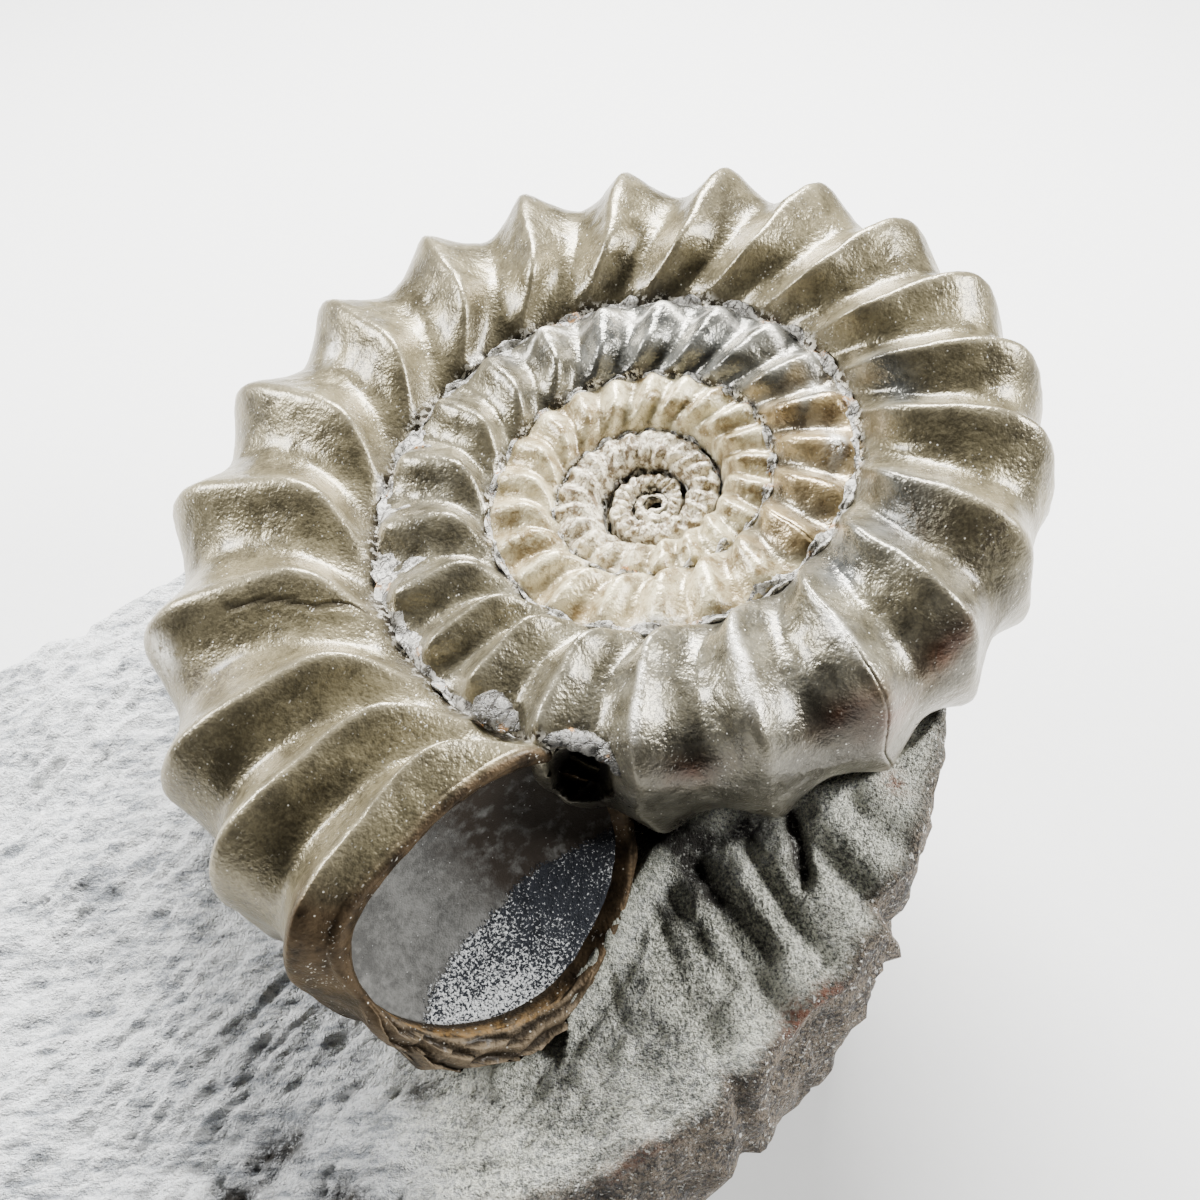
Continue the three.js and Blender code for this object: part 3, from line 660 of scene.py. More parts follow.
def shell_masks(rest, t, weight, points):
    """Where each colour of the shell lies, from the turn and the place round the section."""
    rest, t, weight = np.broadcast_arrays(rest, t, weight)
    wander = 0.35 * RELIEF.layers(points, 1.6, 3)
    s = rest + wander
    venter = np.cos(t)
    slate = band(s, -10.1, -8.6, 0.4) * 0.9 + 0.4 * band(s, -6.3, -4.9, 0.5) + 0.25 * band(s, -8.6, -6.6, 0.5)
    slate = slate + marks(rest, t, BLUISH_MARKS) + 0.5 * band(s, -11.4, -10.1, 0.2) * (1 - weight) ** 0.5
    honey = band(s, -11.35, -10.15, 0.12) * (0.25 + 0.75 * weight ** 0.5) * (0.8 + 0.2 * np.sin(7 * s))
    low = 1 - ease_between(t, 1.1, 1.7)
    honey = honey + band(s, -14.4, -11.6, 0.2) * (0.35 + 0.5 * low) * (0.35 + 0.65 * (1 - weight))
    patches = ease_between(np.sin(2.9 * s), -0.7, 0.9)
    honey = honey + band(s, -19.0, -14.4, 0.4) * (0.55 - 0.4 * weight) * patches
    cream = band(s, -19.2, -11.5, 0.15) * (0.45 + 0.55 * weight ** 0.7)
    pearl = 1 - ease_between(s, -19.8, -18.2)
    # The deep mask is painted shade on the undersides and seats; its band over turns -6.4 to -4.6 by the
    # venter is partly brown dirt, partly painted shade.
    seat = (1 - ease_between(rest, *COVERED_FROM)) * (1 - ease_between(inward(t), 0.78, 0.98))
    deep = np.maximum(ease_between(-venter, 0.45, 0.95) * (t < math.pi), seat)
    signed = np.where(t > math.pi, t - TURN, t)
    deep = np.maximum(deep, band(rest, -6.4, -4.6, 0.3) * (1 - ease_between(signed, 0.15, 0.6)))
    flat = np.stack([rest, t * 0.35, 0 * t], -1)
    crack = near_line(flat, [(a, b * 0.35, 0) for a, b in CRACK])
    # Crest mask: paler crests, partly worn, partly a painted highlight.
    crest = weight ** 6 * (0.35 + 0.65 * ease_between(rest, -6.8, -6.2))
    masks = {
        "crest": crest, "seam": seam_nearness(rest, points), "honey": honey, "cream": cream,
        "slate": slate, "pearl": pearl, "stain": marks(rest, t, REDDISH_MARKS),
        "worn": marks(rest, t, WORN_MARKS), "deep": deep, "pale": marks(rest, t, PALE_MARKS),
        "crack": 1 - ease_between(crack, 0.002, 0.012),
    }
    return {name: np.clip(values, 0, 1) for name, values in masks.items()}


def relief(points, normals, rest, weight):
    """Small unevenness of the surface, in millimetres; the young shell is crinkled."""
    young = 1 - ease_between(rest, -19.5, -17.0)
    rough = 0.04 * RELIEF.layers(points, 2.2, 4) + 0.018 * FINE_RELIEF.layers(points, 0.6, 3, 0.6)
    rough = rough + young * 0.10 * FINE_RELIEF.layers(points, 0.5, 4, 0.6)
    grown = 1 - ease_between(rest, -14.0, -11.5)
    rough = rough + grown * 0.03 * FINE_RELIEF.layers(points + 40, 0.6, 3, 0.6)
    ledge = rest + 0.05 * RELIEF.layers(points, 0.9, 3)
    rough = rough - 0.07 * band(ledge, LEDGE_TURN - 0.5, LEDGE_TURN, 0.012)
    return points + normals * np.broadcast_to(rough, points.shape[:-1])[..., None]


# The small pit over the mouth, and the way that it goes in; its inside is painted near-black as painted
# shade.
PIT = {"reach": 0.775, "turn": 0.205, "height": 0.12, "wide": 0.82, "deep": 2.0}
PIT_WAY = np.array([-0.45, -0.42, -0.79])


def sink_pit(points):
    middle = np.array([
        PIT["reach"] * REACH * math.cos(PIT["turn"]),
        PIT["reach"] * REACH * math.sin(PIT["turn"]),
        PIT["height"] * REACH,
    ])
    away = points - middle
    along = away @ PIT_WAY
    across = away - along[..., None] * PIT_WAY
    ragged = PIT["wide"] * (1 + 0.15 * FINE_RELIEF.layers(points, 0.7, 2))
    inside = np.clip(1 - (np.linalg.norm(across, axis=-1) / ragged) ** 2, 0, 1)
    inside = inside * (np.abs(along) < 1.9)
    return points + (PIT["deep"] * inside ** 0.6)[..., None] * PIT_WAY, ease_between(inside, 0.02, 0.35)


def whorl(name, turns, columns, finish, ends=None):
    """A length of whorl as one closed body; ends may add rings at the mouth."""
    t = section_angles(columns)[None, :]
    rest = turns[:, None]
    weight_full = seated_weight(rest, t)
    rings = shell_points(rest + lean(t), t, weight_full)
    rest_full = np.broadcast_to(rest, rings.shape[:2])
    rim = np.zeros(rings.shape[:2])
    strata = rim
    if ends is not None:
        more, more_rest, more_weight, more_rim, more_strata = ends(t)
        strata = np.concatenate([strata, more_strata])
        rim = rim + along_edge(t, DARK_LIP) * ease_between(rest, FIRST_RIB - 0.07, FIRST_RIB)
        rim = np.concatenate([rim, more_rim])
        rings = np.concatenate([rings, more])
        rest_full = np.concatenate([rest_full, more_rest])
        weight_full = np.concatenate([weight_full, more_weight])
    normals = grid_normals(rings)
    outward = rings - rings.mean(1, keepdims=True)
    normals = normals * np.sign((normals * outward).sum(-1, keepdims=True).sum(1, keepdims=True))
    around = np.broadcast_to(t, rings.shape[:2])
    masks = shell_masks(rest_full, around, weight_full, rings)
    masks["rim"] = np.clip(rim, 0, 1)
    masks["flaky"] = masks["rim"] * along_edge(around, LOWER_LIP)
    masks["strata"] = strata
    masks["ochre"] = ease_between(rim, 1.42, 1.58) * along_edge(around, OCHRE_EDGE)
    rings = relief(rings, normals, rest_full, weight_full)
    rings, masks["pit"] = sink_pit(rings)
    return ring_piece(name, to_piece(rings), finish, masks, "shell")


LIP_ROWS = 22
RIM_ROWS = 30
WALL_ROWS = 10
LOWER_LIP = {"start": -1.3, "end": 0.0, "soft": 0.3, "weight": 0.45}
# The dark part of the lip: partly its own brown, partly painted shade on the rolled edge.
DARK_LIP = {"start": -0.5, "end": 1.12, "soft": 0.22}
OCHRE_EDGE = {"start": -1.2, "end": 0.25, "soft": 0.25}


def along_edge(t, part):
    """1 along one part of the mouth's edge, from its start to its end round the section."""
    turned = np.where(t > math.pi, t - TURN, t)
    return band(turned, part["start"], part["end"], part["soft"])


def mouth_rings(t):
    """From the last rib to the broken mouth, over its rolled rim and a little way inside."""
    angles = t[0]
    rings, rests, weights, rims, strata = [], [], [], [], []
    start = FIRST_RIB + lean(angles)
    mouth = mouth_turn(angles)
    flaky = along_edge(angles, LOWER_LIP)
    around = np.stack([4 * np.cos(angles), 4 * np.sin(angles), 0 * angles], -1)
    ragged = flaky * (0.05 + 0.03 * RELIEF.layers(around, 0.8, 4))
    for q in np.linspace(0, 1, LIP_ROWS + 1)[1:]:
        turn = (1 - q) * start + q * mouth
        weight = rib_weight(turn - lean(angles))
        weight = weight + (LOWER_LIP["weight"] - weight) * flaky * ease_between(q, 0.2, 0.9)
        rings.append(shell_points(turn, angles, weight, 1 + ragged * q))
        rests.append(turn - lean(angles))
        weights.append(weight)
        strata.append(0 * angles)
        dark = along_edge(angles, DARK_LIP)
        rims.append(0.3 * ease_between(q, 0.8, 1.0) * (1 - dark) + dark)
    edge_weight, edge_rest = weights[-1], rests[-1]
    for q in np.linspace(0, 1, RIM_ROWS + 1)[1:]:
        layer = 3 * q + 0.8 * RELIEF.layers(around + 9, 1.3, 3)
        stair = (layer - np.floor(layer)) * flaky * math.sin(math.pi * q)
        roll = 0.02 * math.sin(math.pi * q)
        torn = 0.012 * flaky * FINE_RELIEF.layers(around * (1 + 0.12 * q), 0.5, 3) * math.sin(math.pi * q)
        turn = mouth + roll + 0.022 * stair + torn
        outer = shell_points(turn, angles, edge_weight, 1 + ragged)
        inner = shell_points(turn, angles, 0 * angles, CAVITY_WALL)
        share = 0.5 - 0.5 * math.cos(math.pi * q)
        rings.append(outer * (1 - share) + inner * share)
        rests.append(edge_rest)
        strata.append(layer - np.floor(layer))
        weights.append(edge_weight * (1 - share))
        dark = along_edge(angles, DARK_LIP)
        rim_darkening = 0.4 + 0.6 * ease_between(q, 0.0, 0.4)
        rims.append(dark + (1 - dark) * rim_darkening + 0.6 * ease_between(q, 0.7, 0.95))
    for q in np.linspace(0, 1, WALL_ROWS + 1)[1:]:
        rings.append(shell_points(mouth - 0.24 * q, angles, 0 * angles, CAVITY_WALL * (1 - 0.12 * q * q)))
        rests.append(edge_rest)
        weights.append(edge_weight * 0)
        strata.append(0 * angles)
        rims.append(1 + 0 * angles)
    return [np.stack(v) for v in (rings, rests, weights, rims, strata)]


# How far the dish lies behind the mouth at its edge and in its middle, as turns.
DISH = {"edge": 0.03, "deep": 0.11}
DISH_ROWS = 60


def mouth_sediment(finish):
    """The fill in the mouth: a shallow dish, granular on its lower side."""
    t = section_angles(120)
    mouth = mouth_turn(t)
    rings, coarse, brown, shade = [], [], [], []

    def row(back, scale, wide=1.0):
        turn = MOUTH["middle"] + (mouth - MOUTH["middle"]) * scale - back
        rings.append(shell_points(turn, t, 0 * t, CAVITY_WALL * scale * wide))

    for back, scale in ((0.25, 0.5), (0.25, 0.8), (0.2, 0.97)):
        row(back, scale)
    for scale in np.linspace(1.0, 0.02, DISH_ROWS):
        row(DISH["edge"] + DISH["deep"] * (1 - scale ** 2) ** 0.8, scale, 1.01)
    rings = np.stack(rings)
    for ring in rings:
        side = ring[:, 2] / REACH
        r = np.hypot(ring[:, 0], ring[:, 1]) / REACH - 1
        coarse.append(ease_between(-side - 0.3 * np.maximum(-r - 0.1, 0), 0.07, 0.14))
        # Painted shade along the fill's top edge under the shell.
        shade_under_top_edge = 0.5 * ease_between(side, 0.17, 0.23)
        brown.append(np.maximum(ease_between(-r - 0.25 * side, -0.07, 0.12), shade_under_top_edge))
        shade.append(ease_between(-r - 0.4 * side, -0.06, 0.16))
    coarse, brown, shade = np.stack(coarse), np.stack(brown), np.stack(shade)
    grain = FINE_RELIEF.layers(rings, 0.3, 3) * (0.012 + 0.05 * coarse) - 0.1 * coarse
    normals = grid_normals(rings)
    rings = rings + normals * grain[..., None]
    rings, pit = sink_pit(rings)
    masks = {"coarse": coarse, "brown": brown, "shade": shade, "pit": pit}
    return ring_piece("mouth_sediment", to_piece(rings), finish, masks, "fill")


# The seam between a whorl and the one before it.
LEFT_CRUST = (-2.3, -0.5)


def crust_strip(name, start, end, width, thick, seed, finish, pockets=0.0, step=0.01, columns=18):
    """A ragged strip of crust along the seam; at the left it fills the pockets between the older ribs."""
    turns = np.arange(start, end, step)
    noise = StoneNoise(seed)
    reach, _ = seam_line(turns)
    along = np.stack([turns * reach, 0 * turns, 0 * turns], -1)
    older = rib_weight(turns - TURN - lean(0.9))
    left = band(turns, *LEFT_CRUST, 0.3)
    taper = ease_between(turns, start, start + 0.2) * (1 - ease_between(turns, end - 0.1, end))

    def ragged(place):
        wide = np.clip(0.7 + 1.1 * noise.layers(along + place, 1.1, 4, 0.62), 0.12, None)
        return wide * (0.1 + 0.9 * taper)

    inner = width * ragged(0) * (1 + pockets * left * 3.6 * (1 - older) ** 2)
    outer = 0.55 * width * ragged(40)
    u = np.linspace(-1, 1, columns)[None, :]
    r = reach[:, None] + np.where(u < 0, inner[:, None], outer[:, None]) * u
    turn = turns[:, None]
    ground = np.maximum(flank(r, turn, 0.2 * rib_weight(turn)), older_flank(r, turn))
    spots = np.stack([r * np.cos(turn), r * np.sin(turn), ground], -1)
    flakes = noise.layers(spots, 0.6, 4, 0.6)
    stairs = np.floor(noise.layers(spots + 70, 0.9, 3) * 4) / 4
    high = thick * (1 - np.abs(u) ** 3) * (1 + 0.5 * flakes + 0.6 * stairs) - 0.03
    top = spots + np.stack([0.05 * flakes, 0.05 * flakes, high], -1)
    under = spots - (0, 0, 0.35)
    return ring_piece(name, to_piece(np.concatenate([top, under[:, ::-1]], 1)), finish, part_slot="crust")


def crust_lumps(name, path, finish, seed, columns=20, step=0.06):
    """A ragged rope of crust along points given by reach, turn, height and half-width."""
    reach, turn, height, wide = np.array(path).T
    middle = np.stack([reach * np.cos(turn), reach * np.sin(turn), height], -1) * REACH
    points = np.concatenate([middle, wide[:, None]], 1)
    places = np.concatenate([[0], np.cumsum(np.linalg.norm(np.diff(points[:, :3], axis=0), axis=1))])
    at = np.arange(0, places[-1], step)
    line = np.stack([np.interp(at, places, points[:, k]) for k in range(4)], -1)
    noise = StoneNoise(seed)
    ahead = np.gradient(line[:, :3], axis=0)
    ahead /= np.linalg.norm(ahead, axis=1, keepdims=True)
    sideways = np.cross(ahead, (0, 0, 1.0))
    sideways /= np.linalg.norm(sideways, axis=1, keepdims=True)
    up = np.cross(sideways, ahead)
    closed = np.clip(np.minimum(at, at[-1] - at) / 0.3, 0, 1) ** 0.5
    wide = line[:, 3] * (0.08 + 0.92 * closed)
    angles = np.arange(columns) * TURN / columns
    across = np.cos(angles)[None, :, None] * sideways[:, None]
    ring = across + 0.5 * np.sin(angles)[None, :, None] * up[:, None]
    rings = line[:, None, :3] + ring * wide[:, None, None]
    lumps = noise.layers(rings, 0.7, 4)
    rings = rings + ring * (0.2 * lumps * closed[:, None])[..., None]
    return ring_piece(name, to_piece(rings), finish, part_slot="crust")


# The rock.
ROCK_EDGE = (
    (8.0, -4.4, 0.2, 0.6), (8.1, -5.9, 0.1, 0.8), (7.9, -7.1, 0.1, 0.9), (7.5, -8.3, 0.1, 0.8),
    (7.0, -9.4, 0.1, 1.0), (6.3, -10.4, 0.1, 0.9), (5.5, -11.3, 0.2, 0.8), (5.7, -12.1, 0.3, 0.6),
    (4.8, -13.0, 0.4, 0.4), (3.8, -13.8, 0.5, 0.5), (2.9, -14.7, 0.6, 0.5), (2.0, -15.6, 0.8, 0.6),
    (0.2, -16.7, 0.8, 0.7), (-1.4, -17.3, 0.8, 0.4), (-4.0, -18.0, 0.9, 0.7), (-6.6, -17.6, 0.6, 0.9),
    (-9.6, -17.8, 0.9, 0.6), (-13.2, -17.4, 0.7, 1.0), (-17.0, -17.5, 0.9, 0.8), (-20.6, -16.6, 0.8, 1.2),
    (-23.8, -15.2, 0.9, 0.9), (-26.2, -12.3, 0.8, 1.3), (-27.6, -8.6, 0.7, 0.8), (-28.2, -4.8, 0.9, 1.2),
    (-27.2, -1.4, 0.6, 0.9), (-24.2, 1.0, 0.5, 0.8), (-22.4, 1.9, 0.5, 1.1), (-20.9, 2.0, 0.4, 0.8),
    (-19.4, 3.4, 0.5, 0.7), (-17.0, 4.9, 0.6, 1.0), (-13.4, 6.8, 0.7, 0.8), (-9.2, 7.9, 0.6, 1.2),
    (-4.6, 8.3, 0.8, 0.9), (-0.6, 7.6, 0.6, 0.8), (2.8, 5.9, 0.7, 1.1), (5.6, 3.1, 0.6, 0.9),
    (7.2, 0.2, 0.5, 0.7), (7.9, -2.2, 0.4, 0.8),
)
ROCK_MIDDLE = np.array([-4.0, -8.5])
NOTCH = {"place": (1.9, -15.8), "deep": 0.55, "wide": 0.3}
ROCK_COLUMNS = 560
TOP_ROWS = 140
SIDE_ROWS = 24
ROCK_NOISE = StoneNoise(37)
CHIP_NOISE = StoneNoise(41)
# Crest lines beside the mouth, in the bowl left by the missing whorl: reaches from the axis, and turn.
RIDGE = (
    (0.69, 0.44), (0.78, 0.31), (0.9, 0.24), (0.99, 0.21),
    (1.07, 0.17), (1.17, 0.14), (1.23, 0.1), (1.3, 0.06),
)


def polar(line):
    return [(r * REACH * math.cos(a), r * REACH * math.sin(a)) for r, a in line]


def rock_level(x, y):
    rise = ease_between(x, -3, 6) * ease_between(y, -19, -12)
    waves = 0.22 * np.sin(0.55 * x + 0.35 * y) + 0.16 * np.sin(0.9 * y - 0.4 * x + 1)
    return -3.95 + 1.65 * rise + waves


def underside(r, turn, out, side, square):
    """Height of a whorl's lower surface over the coil's plane; far above it where there is no whorl."""
    g = growth(turn) * REACH
    x = np.clip(np.abs(r / g - 1) / out, 0, 1.0)
    z = -g * side * widening(turn) * (1 - x ** square) ** (1 / square)
    return np.where(x < 1, z, NO_SURFACE)


# Painted shade in dark, rough places under the shell's edge and in hollows at the front: a line in x and y,
# its half-width and its strength.
SHADED_PLACES = (
    (((-0.6, -8.4), (1.0, -9.0), (2.6, -8.9)), 0.55, 0.8),
    (((0.7, -9.2), (1.1, -10.2), (1.7, -10.9)), 0.45, 0.7),
    (((3.8, -8.7), (3.9, -10.3)), 0.22, 0.75),
    (((-6.8, -15.1), (-5.2, -15.6)), 0.7, 0.3),
    (((0.1, -10.6), (0.7, -11.6)), 0.3, 0.35),
    (((-11.5, -16.6), (-10.1, -16.0)), 0.4, 0.55),
    (((-12.5, -17.6), (-11.2, -17.2)), 0.6, 0.9),
    (((-9.2, -17.8), (-8.4, -17.4)), 0.5, 0.85),
)
# Narrow clefts and grooves in the bowl: a line, its half-width and its depth.
CLEFTS = (
    (((3.85, -8.9), (3.95, -10.5)), 0.22, 0.5),
    (((1.1, -9.7), (2.0, -10.9), (2.9, -12.3)), 0.28, 0.32),
    (((0.3, -10.4), (1.1, -12.0), (1.7, -13.0)), 0.28, 0.26),
    (((2.5, -9.4), (3.3, -11.2), (4.2, -12.6)), 0.22, 0.22),
)
# Reddish spots, as place in x and y and size; hollows at the front have a depth as well.
RUST_SPOTS = ((3.4, -14.0, 0.5), (4.2, -13.6, 0.45), (-0.7, -17.7, 0.9), (6.6, -8.3, 0.35))
HOLLOWS = (
    (-11.9, -17.3, 1.3, 0.9), (-8.8, -17.6, 0.9, 0.8), (-1.2, -17.9, 0.6, 0.6), (-10.4, -16.4, 0.7, 0.4),
)
# The mould's ribs, as turns from one to the next and where they begin and end.
MOULD_STEP = 0.155
MOULD_FROM, MOULD_TO = -0.1, 1.75
NO_SURFACE = 9.0


def rock_top(plane):
    """The rock's upper surface as a height along the coil's axis, and its colour masks."""
    guess = np.concatenate([plane, np.full(plane.shape[:-1] + (1,), -3.6)], -1)
    piece = guess @ COIL_TO_PIECE.T
    x, y = piece[..., 0], piece[..., 1]
    r = np.hypot(plane[..., 0], plane[..., 1])
    angle = np.arctan2(plane[..., 1], plane[..., 0])
    left = 1 - ease_between(x, -6, 0) * ease_between(y, -20, -10)
    level = rock_level(x, y)
    turned = np.stack([(x + y) * 0.32, (y - x) * 1.1, 0 * x], -1)
    level = level + left * 0.19 * ROCK_NOISE.layers(turned, 0.8, 5, 0.62)
    level = level + 0.16 * ROCK_NOISE.layers(piece, 3.4, 3)
    level = level + (0.045 + 0.04 * left) * CHIP_NOISE.layers(piece, 0.6, 3)
    # The mould of the missing whorl.
    forward = 0.4 * np.maximum(r / REACH / growth(angle) - 1, -0.25)
    phase = (angle - forward - MOULD_FROM) / MOULD_STEP
    rib = np.abs(2 * (phase - np.floor(phase)) - 1)
    uneven = np.clip(0.75 + 0.9 * ROCK_NOISE(piece + 30, 3.0), 0.35, 1.2)
    weight = 0.13 + 0.4 * uneven * rib ** 1.5 * ease_between(r / REACH, 0.62, 0.8)
    out = 0.322 + 0.044 * weight
    side = 0.252 + 0.082 * weight
    mould = underside(r, angle, out * 1.02, side, 2.3)
    mould = np.where((angle > MOULD_FROM) & (angle < MOULD_TO), mould, NO_SURFACE)
    ridge = np.exp(-(near_line(plane, polar(RIDGE)) / 0.42) ** 2)
    # The bed of the shell itself, a hair below its ribs.
    bed = np.full(r.shape, NO_SURFACE)
    for lap in range(4):
        turn = angle - TURN * lap
        for ahead in (0, TURN):
            later = turn + ahead
            if lap == 0 and ahead:
                continue
            crests = underside(r, later, CREST["out"] * 1.01, CREST["side"] * 1.01, 2.6)
            bed = np.minimum(bed, np.where(later < 0.16, crests, NO_SURFACE))
    wobble = 0.06 * CHIP_NOISE.layers(piece, 0.8, 3)
    height = np.minimum(level, mould + wobble) + ridge * 0.75
    in_bowl = ease_between(level - mould, -0.05, 0.35) * (mould < 5)
    height = np.minimum(height, bed - 0.03)
    bowl = np.clip(ease_between(x + 0.25 * (y + 17), -8.2, -4.6) * 0.85 + in_bowl * 0.4, 0, 1)
    rust = np.zeros_like(x)
    for at_x, at_y, size in RUST_SPOTS:
        rust = np.maximum(rust, np.exp(-((x - at_x) ** 2 + (y - at_y) ** 2) / size ** 2))
    for at_x, at_y, size, deep in HOLLOWS:
        pit = np.exp(-((x - at_x) ** 2 + (y - at_y) ** 2) / size ** 2)
        height = height - deep * pit * (1 + 0.6 * CHIP_NOISE.layers(piece, 0.7, 2))
    shade = np.zeros_like(x)
    flat = np.stack([x, y], -1)
    for line, size, strength in SHADED_PLACES:
        shade = np.maximum(shade, strength * np.exp(-(near_line(flat, line) / size) ** 2))
    broken = 0.9 * (shade > 0.02) * CHIP_NOISE.layers(piece, 1.3, 4) * shade ** 0.5
    shade = np.clip(shade * 1.3 + broken, 0, 1)
    chipped = 1 + 0.4 * CHIP_NOISE.layers(piece, 0.6, 2)
    for line, size, deep in CLEFTS:
        height = height - deep * np.exp(-(near_line(flat, line) / size) ** 2) * chipped
    return height, {"bowl": bowl, "rust": rust, "shade": shade, "olive": ridge * (mould < 5), "side": 0 * x}


def edge_columns():
    """The rock's edge at each column, as x, y, how far the side leans out, and how far the base draws in."""
    corners = np.array(ROCK_EDGE)
    away = corners[:, :2] - ROCK_MIDDLE
    bearing = np.unwrap(np.arctan2(away[:, 1], away[:, 0]))
    step = np.concatenate([[0], np.cumsum(np.linalg.norm(np.diff(corners[:, :2], axis=0), axis=1))])
    closing = step[-1] + np.linalg.norm(corners[0, :2] - corners[-1, :2])
    at = np.arange(ROCK_COLUMNS) / ROCK_COLUMNS * closing
    looped = np.concatenate([corners, corners[:1]])
    places = np.concatenate([step, [closing]])
    columns = np.stack([np.interp(at, places, looped[:, k]) for k in range(4)], -1)
    spots = np.stack([columns[:, 0], columns[:, 1], 0 * at], -1)
    chips = (0.16 + 0.12 * ease_between(columns[:, 0], 0, 4)) * CHIP_NOISE.layers(spots, 1.9, 5, 0.45)
    outward = columns[:, :2] - ROCK_MIDDLE
    outward /= np.linalg.norm(outward, axis=1, keepdims=True)
    crack = NOTCH["deep"] * np.exp(-np.sum((columns[:, :2] - NOTCH["place"]) ** 2, 1) / NOTCH["wide"] ** 2)
    columns[:, :2] += outward * (chips - crack)[:, None]
    return columns, outward


def matrix_rock(finish):
    columns, outward = edge_columns()
    level = rock_level(columns[:, 0], columns[:, 1])
    top_guess = (level - columns[:, :2] @ COIL_TO_PIECE[:2, 2]) / COIL_TO_PIECE[2, 2]
    rim = np.stack([columns[:, 0], columns[:, 1], top_guess], -1) @ COIL_TO_PIECE
    middle = np.array([ROCK_MIDDLE[0], ROCK_MIDDLE[1], -6.5]) @ COIL_TO_PIECE
    shares = np.linspace(0.004, 1, TOP_ROWS)
    plane = middle[:2] + shares[:, None, None] * (rim[None, :, :2] - middle[:2])
    height, masks = rock_top(plane)
    top = np.concatenate([plane, height[..., None]], -1)
    near_edge = ease_between(shares, 0.985, 1.0)[:, None]
    top[..., 2] -= 0.12 * near_edge
    top = top @ COIL_TO_PIECE.T
    edge = top[-1]
    rings, side_masks = [top], {m: [v] for m, v in masks.items()}
    base = -COIL_MIDDLE[2]
    for row in range(1, SIDE_ROWS + 1):
        drop = (row / SIDE_ROWS) ** 1.15
        bulge = np.sin(math.pi * np.minimum(1, drop * 1.4)) * columns[:, 2] - columns[:, 3] * drop * drop
        ring = edge.copy()
        ring[:, 2] = edge[:, 2] + (base - edge[:, 2]) * drop
        rough = 0.5 * CHIP_NOISE.layers(ring, 1.9, 5, 0.58) * (1 - 0.6 * drop) * min(1.0, row / 3)
        ring[:, :2] += outward * (bulge + rough)[:, None]
        rings.append(ring[None])
        for m in masks:
            side_masks[m].append(np.full((1, ROCK_COLUMNS), 1.0 if m == "side" else 0.0))
    rings = np.concatenate(rings) + COIL_MIDDLE
    full = {m: np.concatenate(v) for m, v in side_masks.items()}
    full["side"] = full["side"] * ease_between(rings[..., 0] - rings[..., 1], -4, 8)
    right = ease_between(columns[:, 0] - columns[:, 1], 10, 17)
    inner = ease_between(shares, 0.93, 1.0)[:, None] * right[None, :]
    full["side"][:TOP_ROWS] = inner
    rings[..., 2] = np.maximum(rings[..., 2], 0)
    return ring_piece("matrix_block", rings, finish, full, "matrix")


# Making the pieces.
satin_shell = shell_finish()
flaky_crust = crust_finish("flaky_crust", (0.06, 0.055, 0.045), (0.50, 0.485, 0.44), 0.33)
grey_crust = crust_finish("grey_crust", (0.016, 0.014, 0.012), (0.15, 0.145, 0.13), 0.2)

outer_end = rib_turn(18)
second_end = rib_turn(38)
outer_turns = np.arange(outer_end, FIRST_RIB + 1e-6, (FIRST_RIB - outer_end) / 540)
outer = whorl("outer_whorl", outer_turns, 156, satin_shell, mouth_rings)
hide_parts("ammonite")
second_turns = np.linspace(second_end, outer_end, 600)
whorl("second_whorl", second_turns, 120, satin_shell)
inner_turns = np.linspace(-38.0, second_end, 1250)
whorl("inner_whorls", inner_turns, 64, satin_shell)

fill = mouth_sediment(sediment_finish())
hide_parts("mouth_fill")

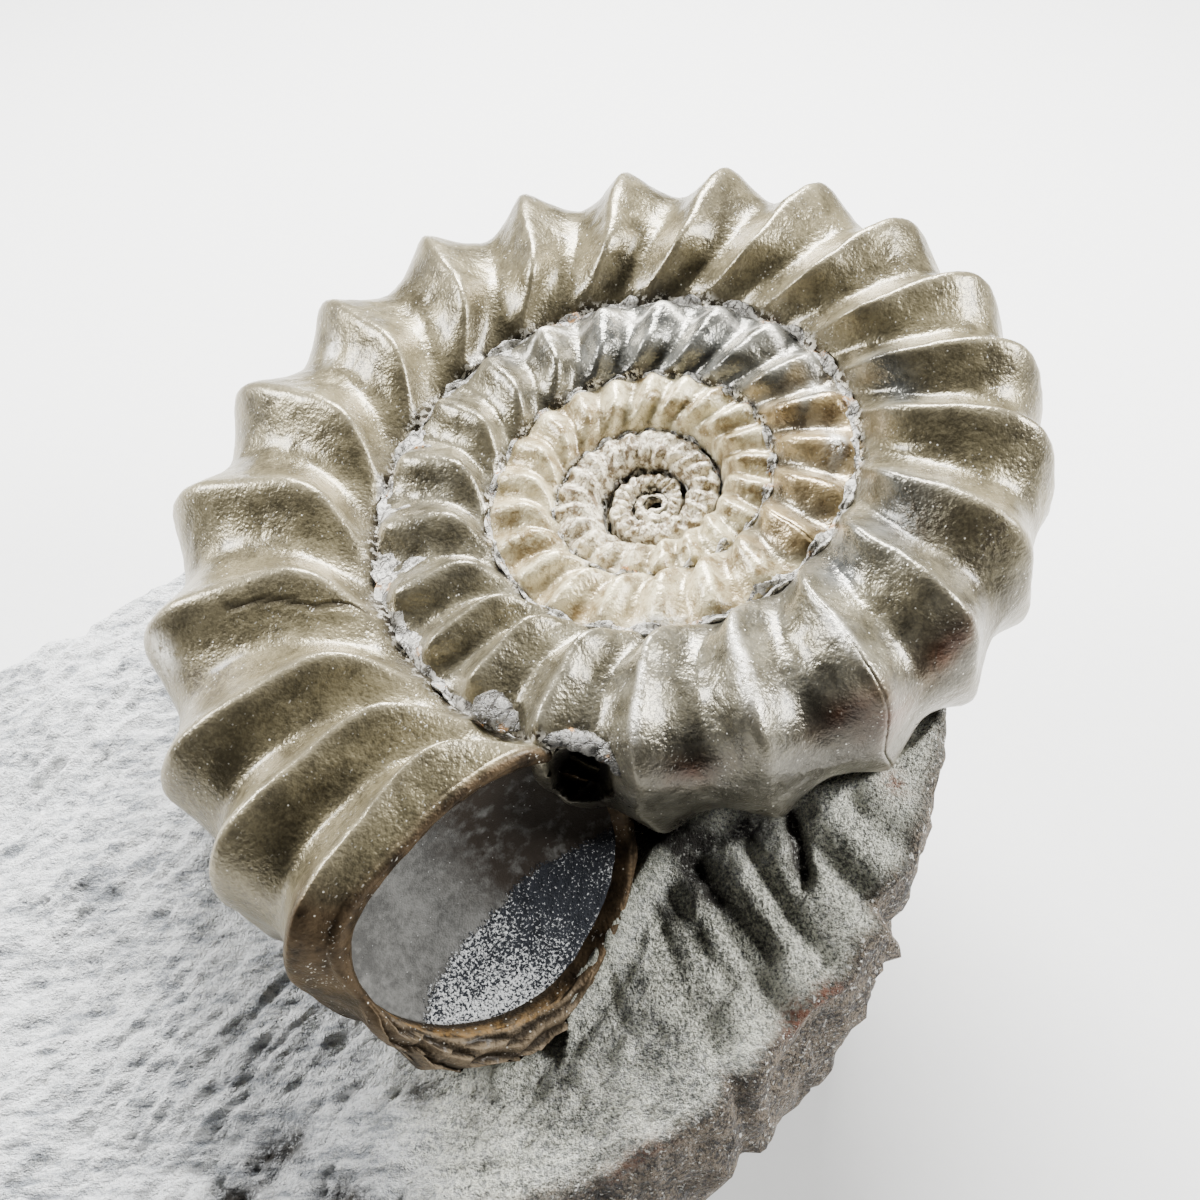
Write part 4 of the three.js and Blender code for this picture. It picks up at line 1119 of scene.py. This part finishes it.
crust = crust_strip("outer_seam_crust", -6.28, 0.0, 0.27, 0.085, 5, flaky_crust, pockets=0.9)
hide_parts("seam_crust")
crust_strip("second_seam_crust", -12.55, -6.2, 0.16, 0.06, 6, flaky_crust)
crust_strip("third_seam_crust", -18.85, -12.5, 0.11, 0.055, 7, flaky_crust, step=0.014, columns=12)
crust_strip("fourth_seam_crust", -25.0, -18.8, 0.07, 0.04, 8, flaky_crust, step=0.018, columns=10)
crust_lumps("pit_arch", (
    (0.712, 0.04, 0.172, 0.2), (0.712, 0.12, 0.176, 0.24), (0.708, 0.19, 0.172, 0.26),
    (0.716, 0.25, 0.158, 0.28), (0.738, 0.292, 0.140, 0.3), (0.765, 0.31, 0.118, 0.2),
), grey_crust, 9)
crust_lumps("seam_nodule", (
    (0.672, -0.17, 0.176, 0.2), (0.69, -0.11, 0.186, 0.46), (0.705, -0.04, 0.182, 0.36),
    (0.712, 0.02, 0.172, 0.2),
), grey_crust, 10)

rock = matrix_rock(matrix_finish())
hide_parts("matrix_rock")

# The floor, the camera and the lights.
FLOOR_HALF = 600.0
floor_points = np.array([(-1, -1, 0), (1, -1, 0), (1, 1, 0), (-1, 1, 0)], float) * FLOOR_HALF
floor = mesh_piece("floor", floor_points, np.array([[0, 1, 2, 3]]), floor_finish(), smooth=False)

CAMERA_PLACE = COIL_MIDDLE + (-1.679, -25.656, 26.211)
camera_data = bpy.data.cameras.new("camera")
camera_data.sensor_width = 36
camera_data.lens = 36.06
camera_data.clip_start = 0.001
camera_data.clip_end = 10
camera = bpy.data.objects.new("camera", camera_data)
camera.location = CAMERA_PLACE * MM
camera.rotation_euler = (math.radians(40), 0, 0)
bpy.context.scene.collection.objects.link(camera)
bpy.context.scene.camera = camera


def soft_light(name, place, size, power):
    """A square soft light, aimed at the middle of the coil; place and size are in millimetres."""
    data = bpy.data.lights.new(name, "AREA")
    data.shape = "RECTANGLE"
    data.size, data.size_y = size[0] * MM, size[1] * MM
    data.energy = power
    light = bpy.data.objects.new(name, data)
    light.location = Vector(np.array(place) * MM)
    aim = Vector(COIL_MIDDLE * MM) - light.location
    light.rotation_euler = aim.to_track_quat("-Z", "Y").to_euler()
    bpy.context.scene.collection.objects.link(light)


soft_light("overhead_soft_light", (10, 85, 105), (75, 34), 1.04)
soft_light("left_soft_light", (-100, 20, 70), (34, 34), 0.30)
soft_light("right_soft_light", (110, 0, 75), (40, 40), 0.36)
world = bpy.data.worlds.new("studio")
world.use_nodes = True
world.node_tree.nodes["Background"].inputs["Color"].default_value = (0.80, 0.78, 0.76, 1)
world.node_tree.nodes["Background"].inputs["Strength"].default_value = 0.115
bpy.context.scene.world = world
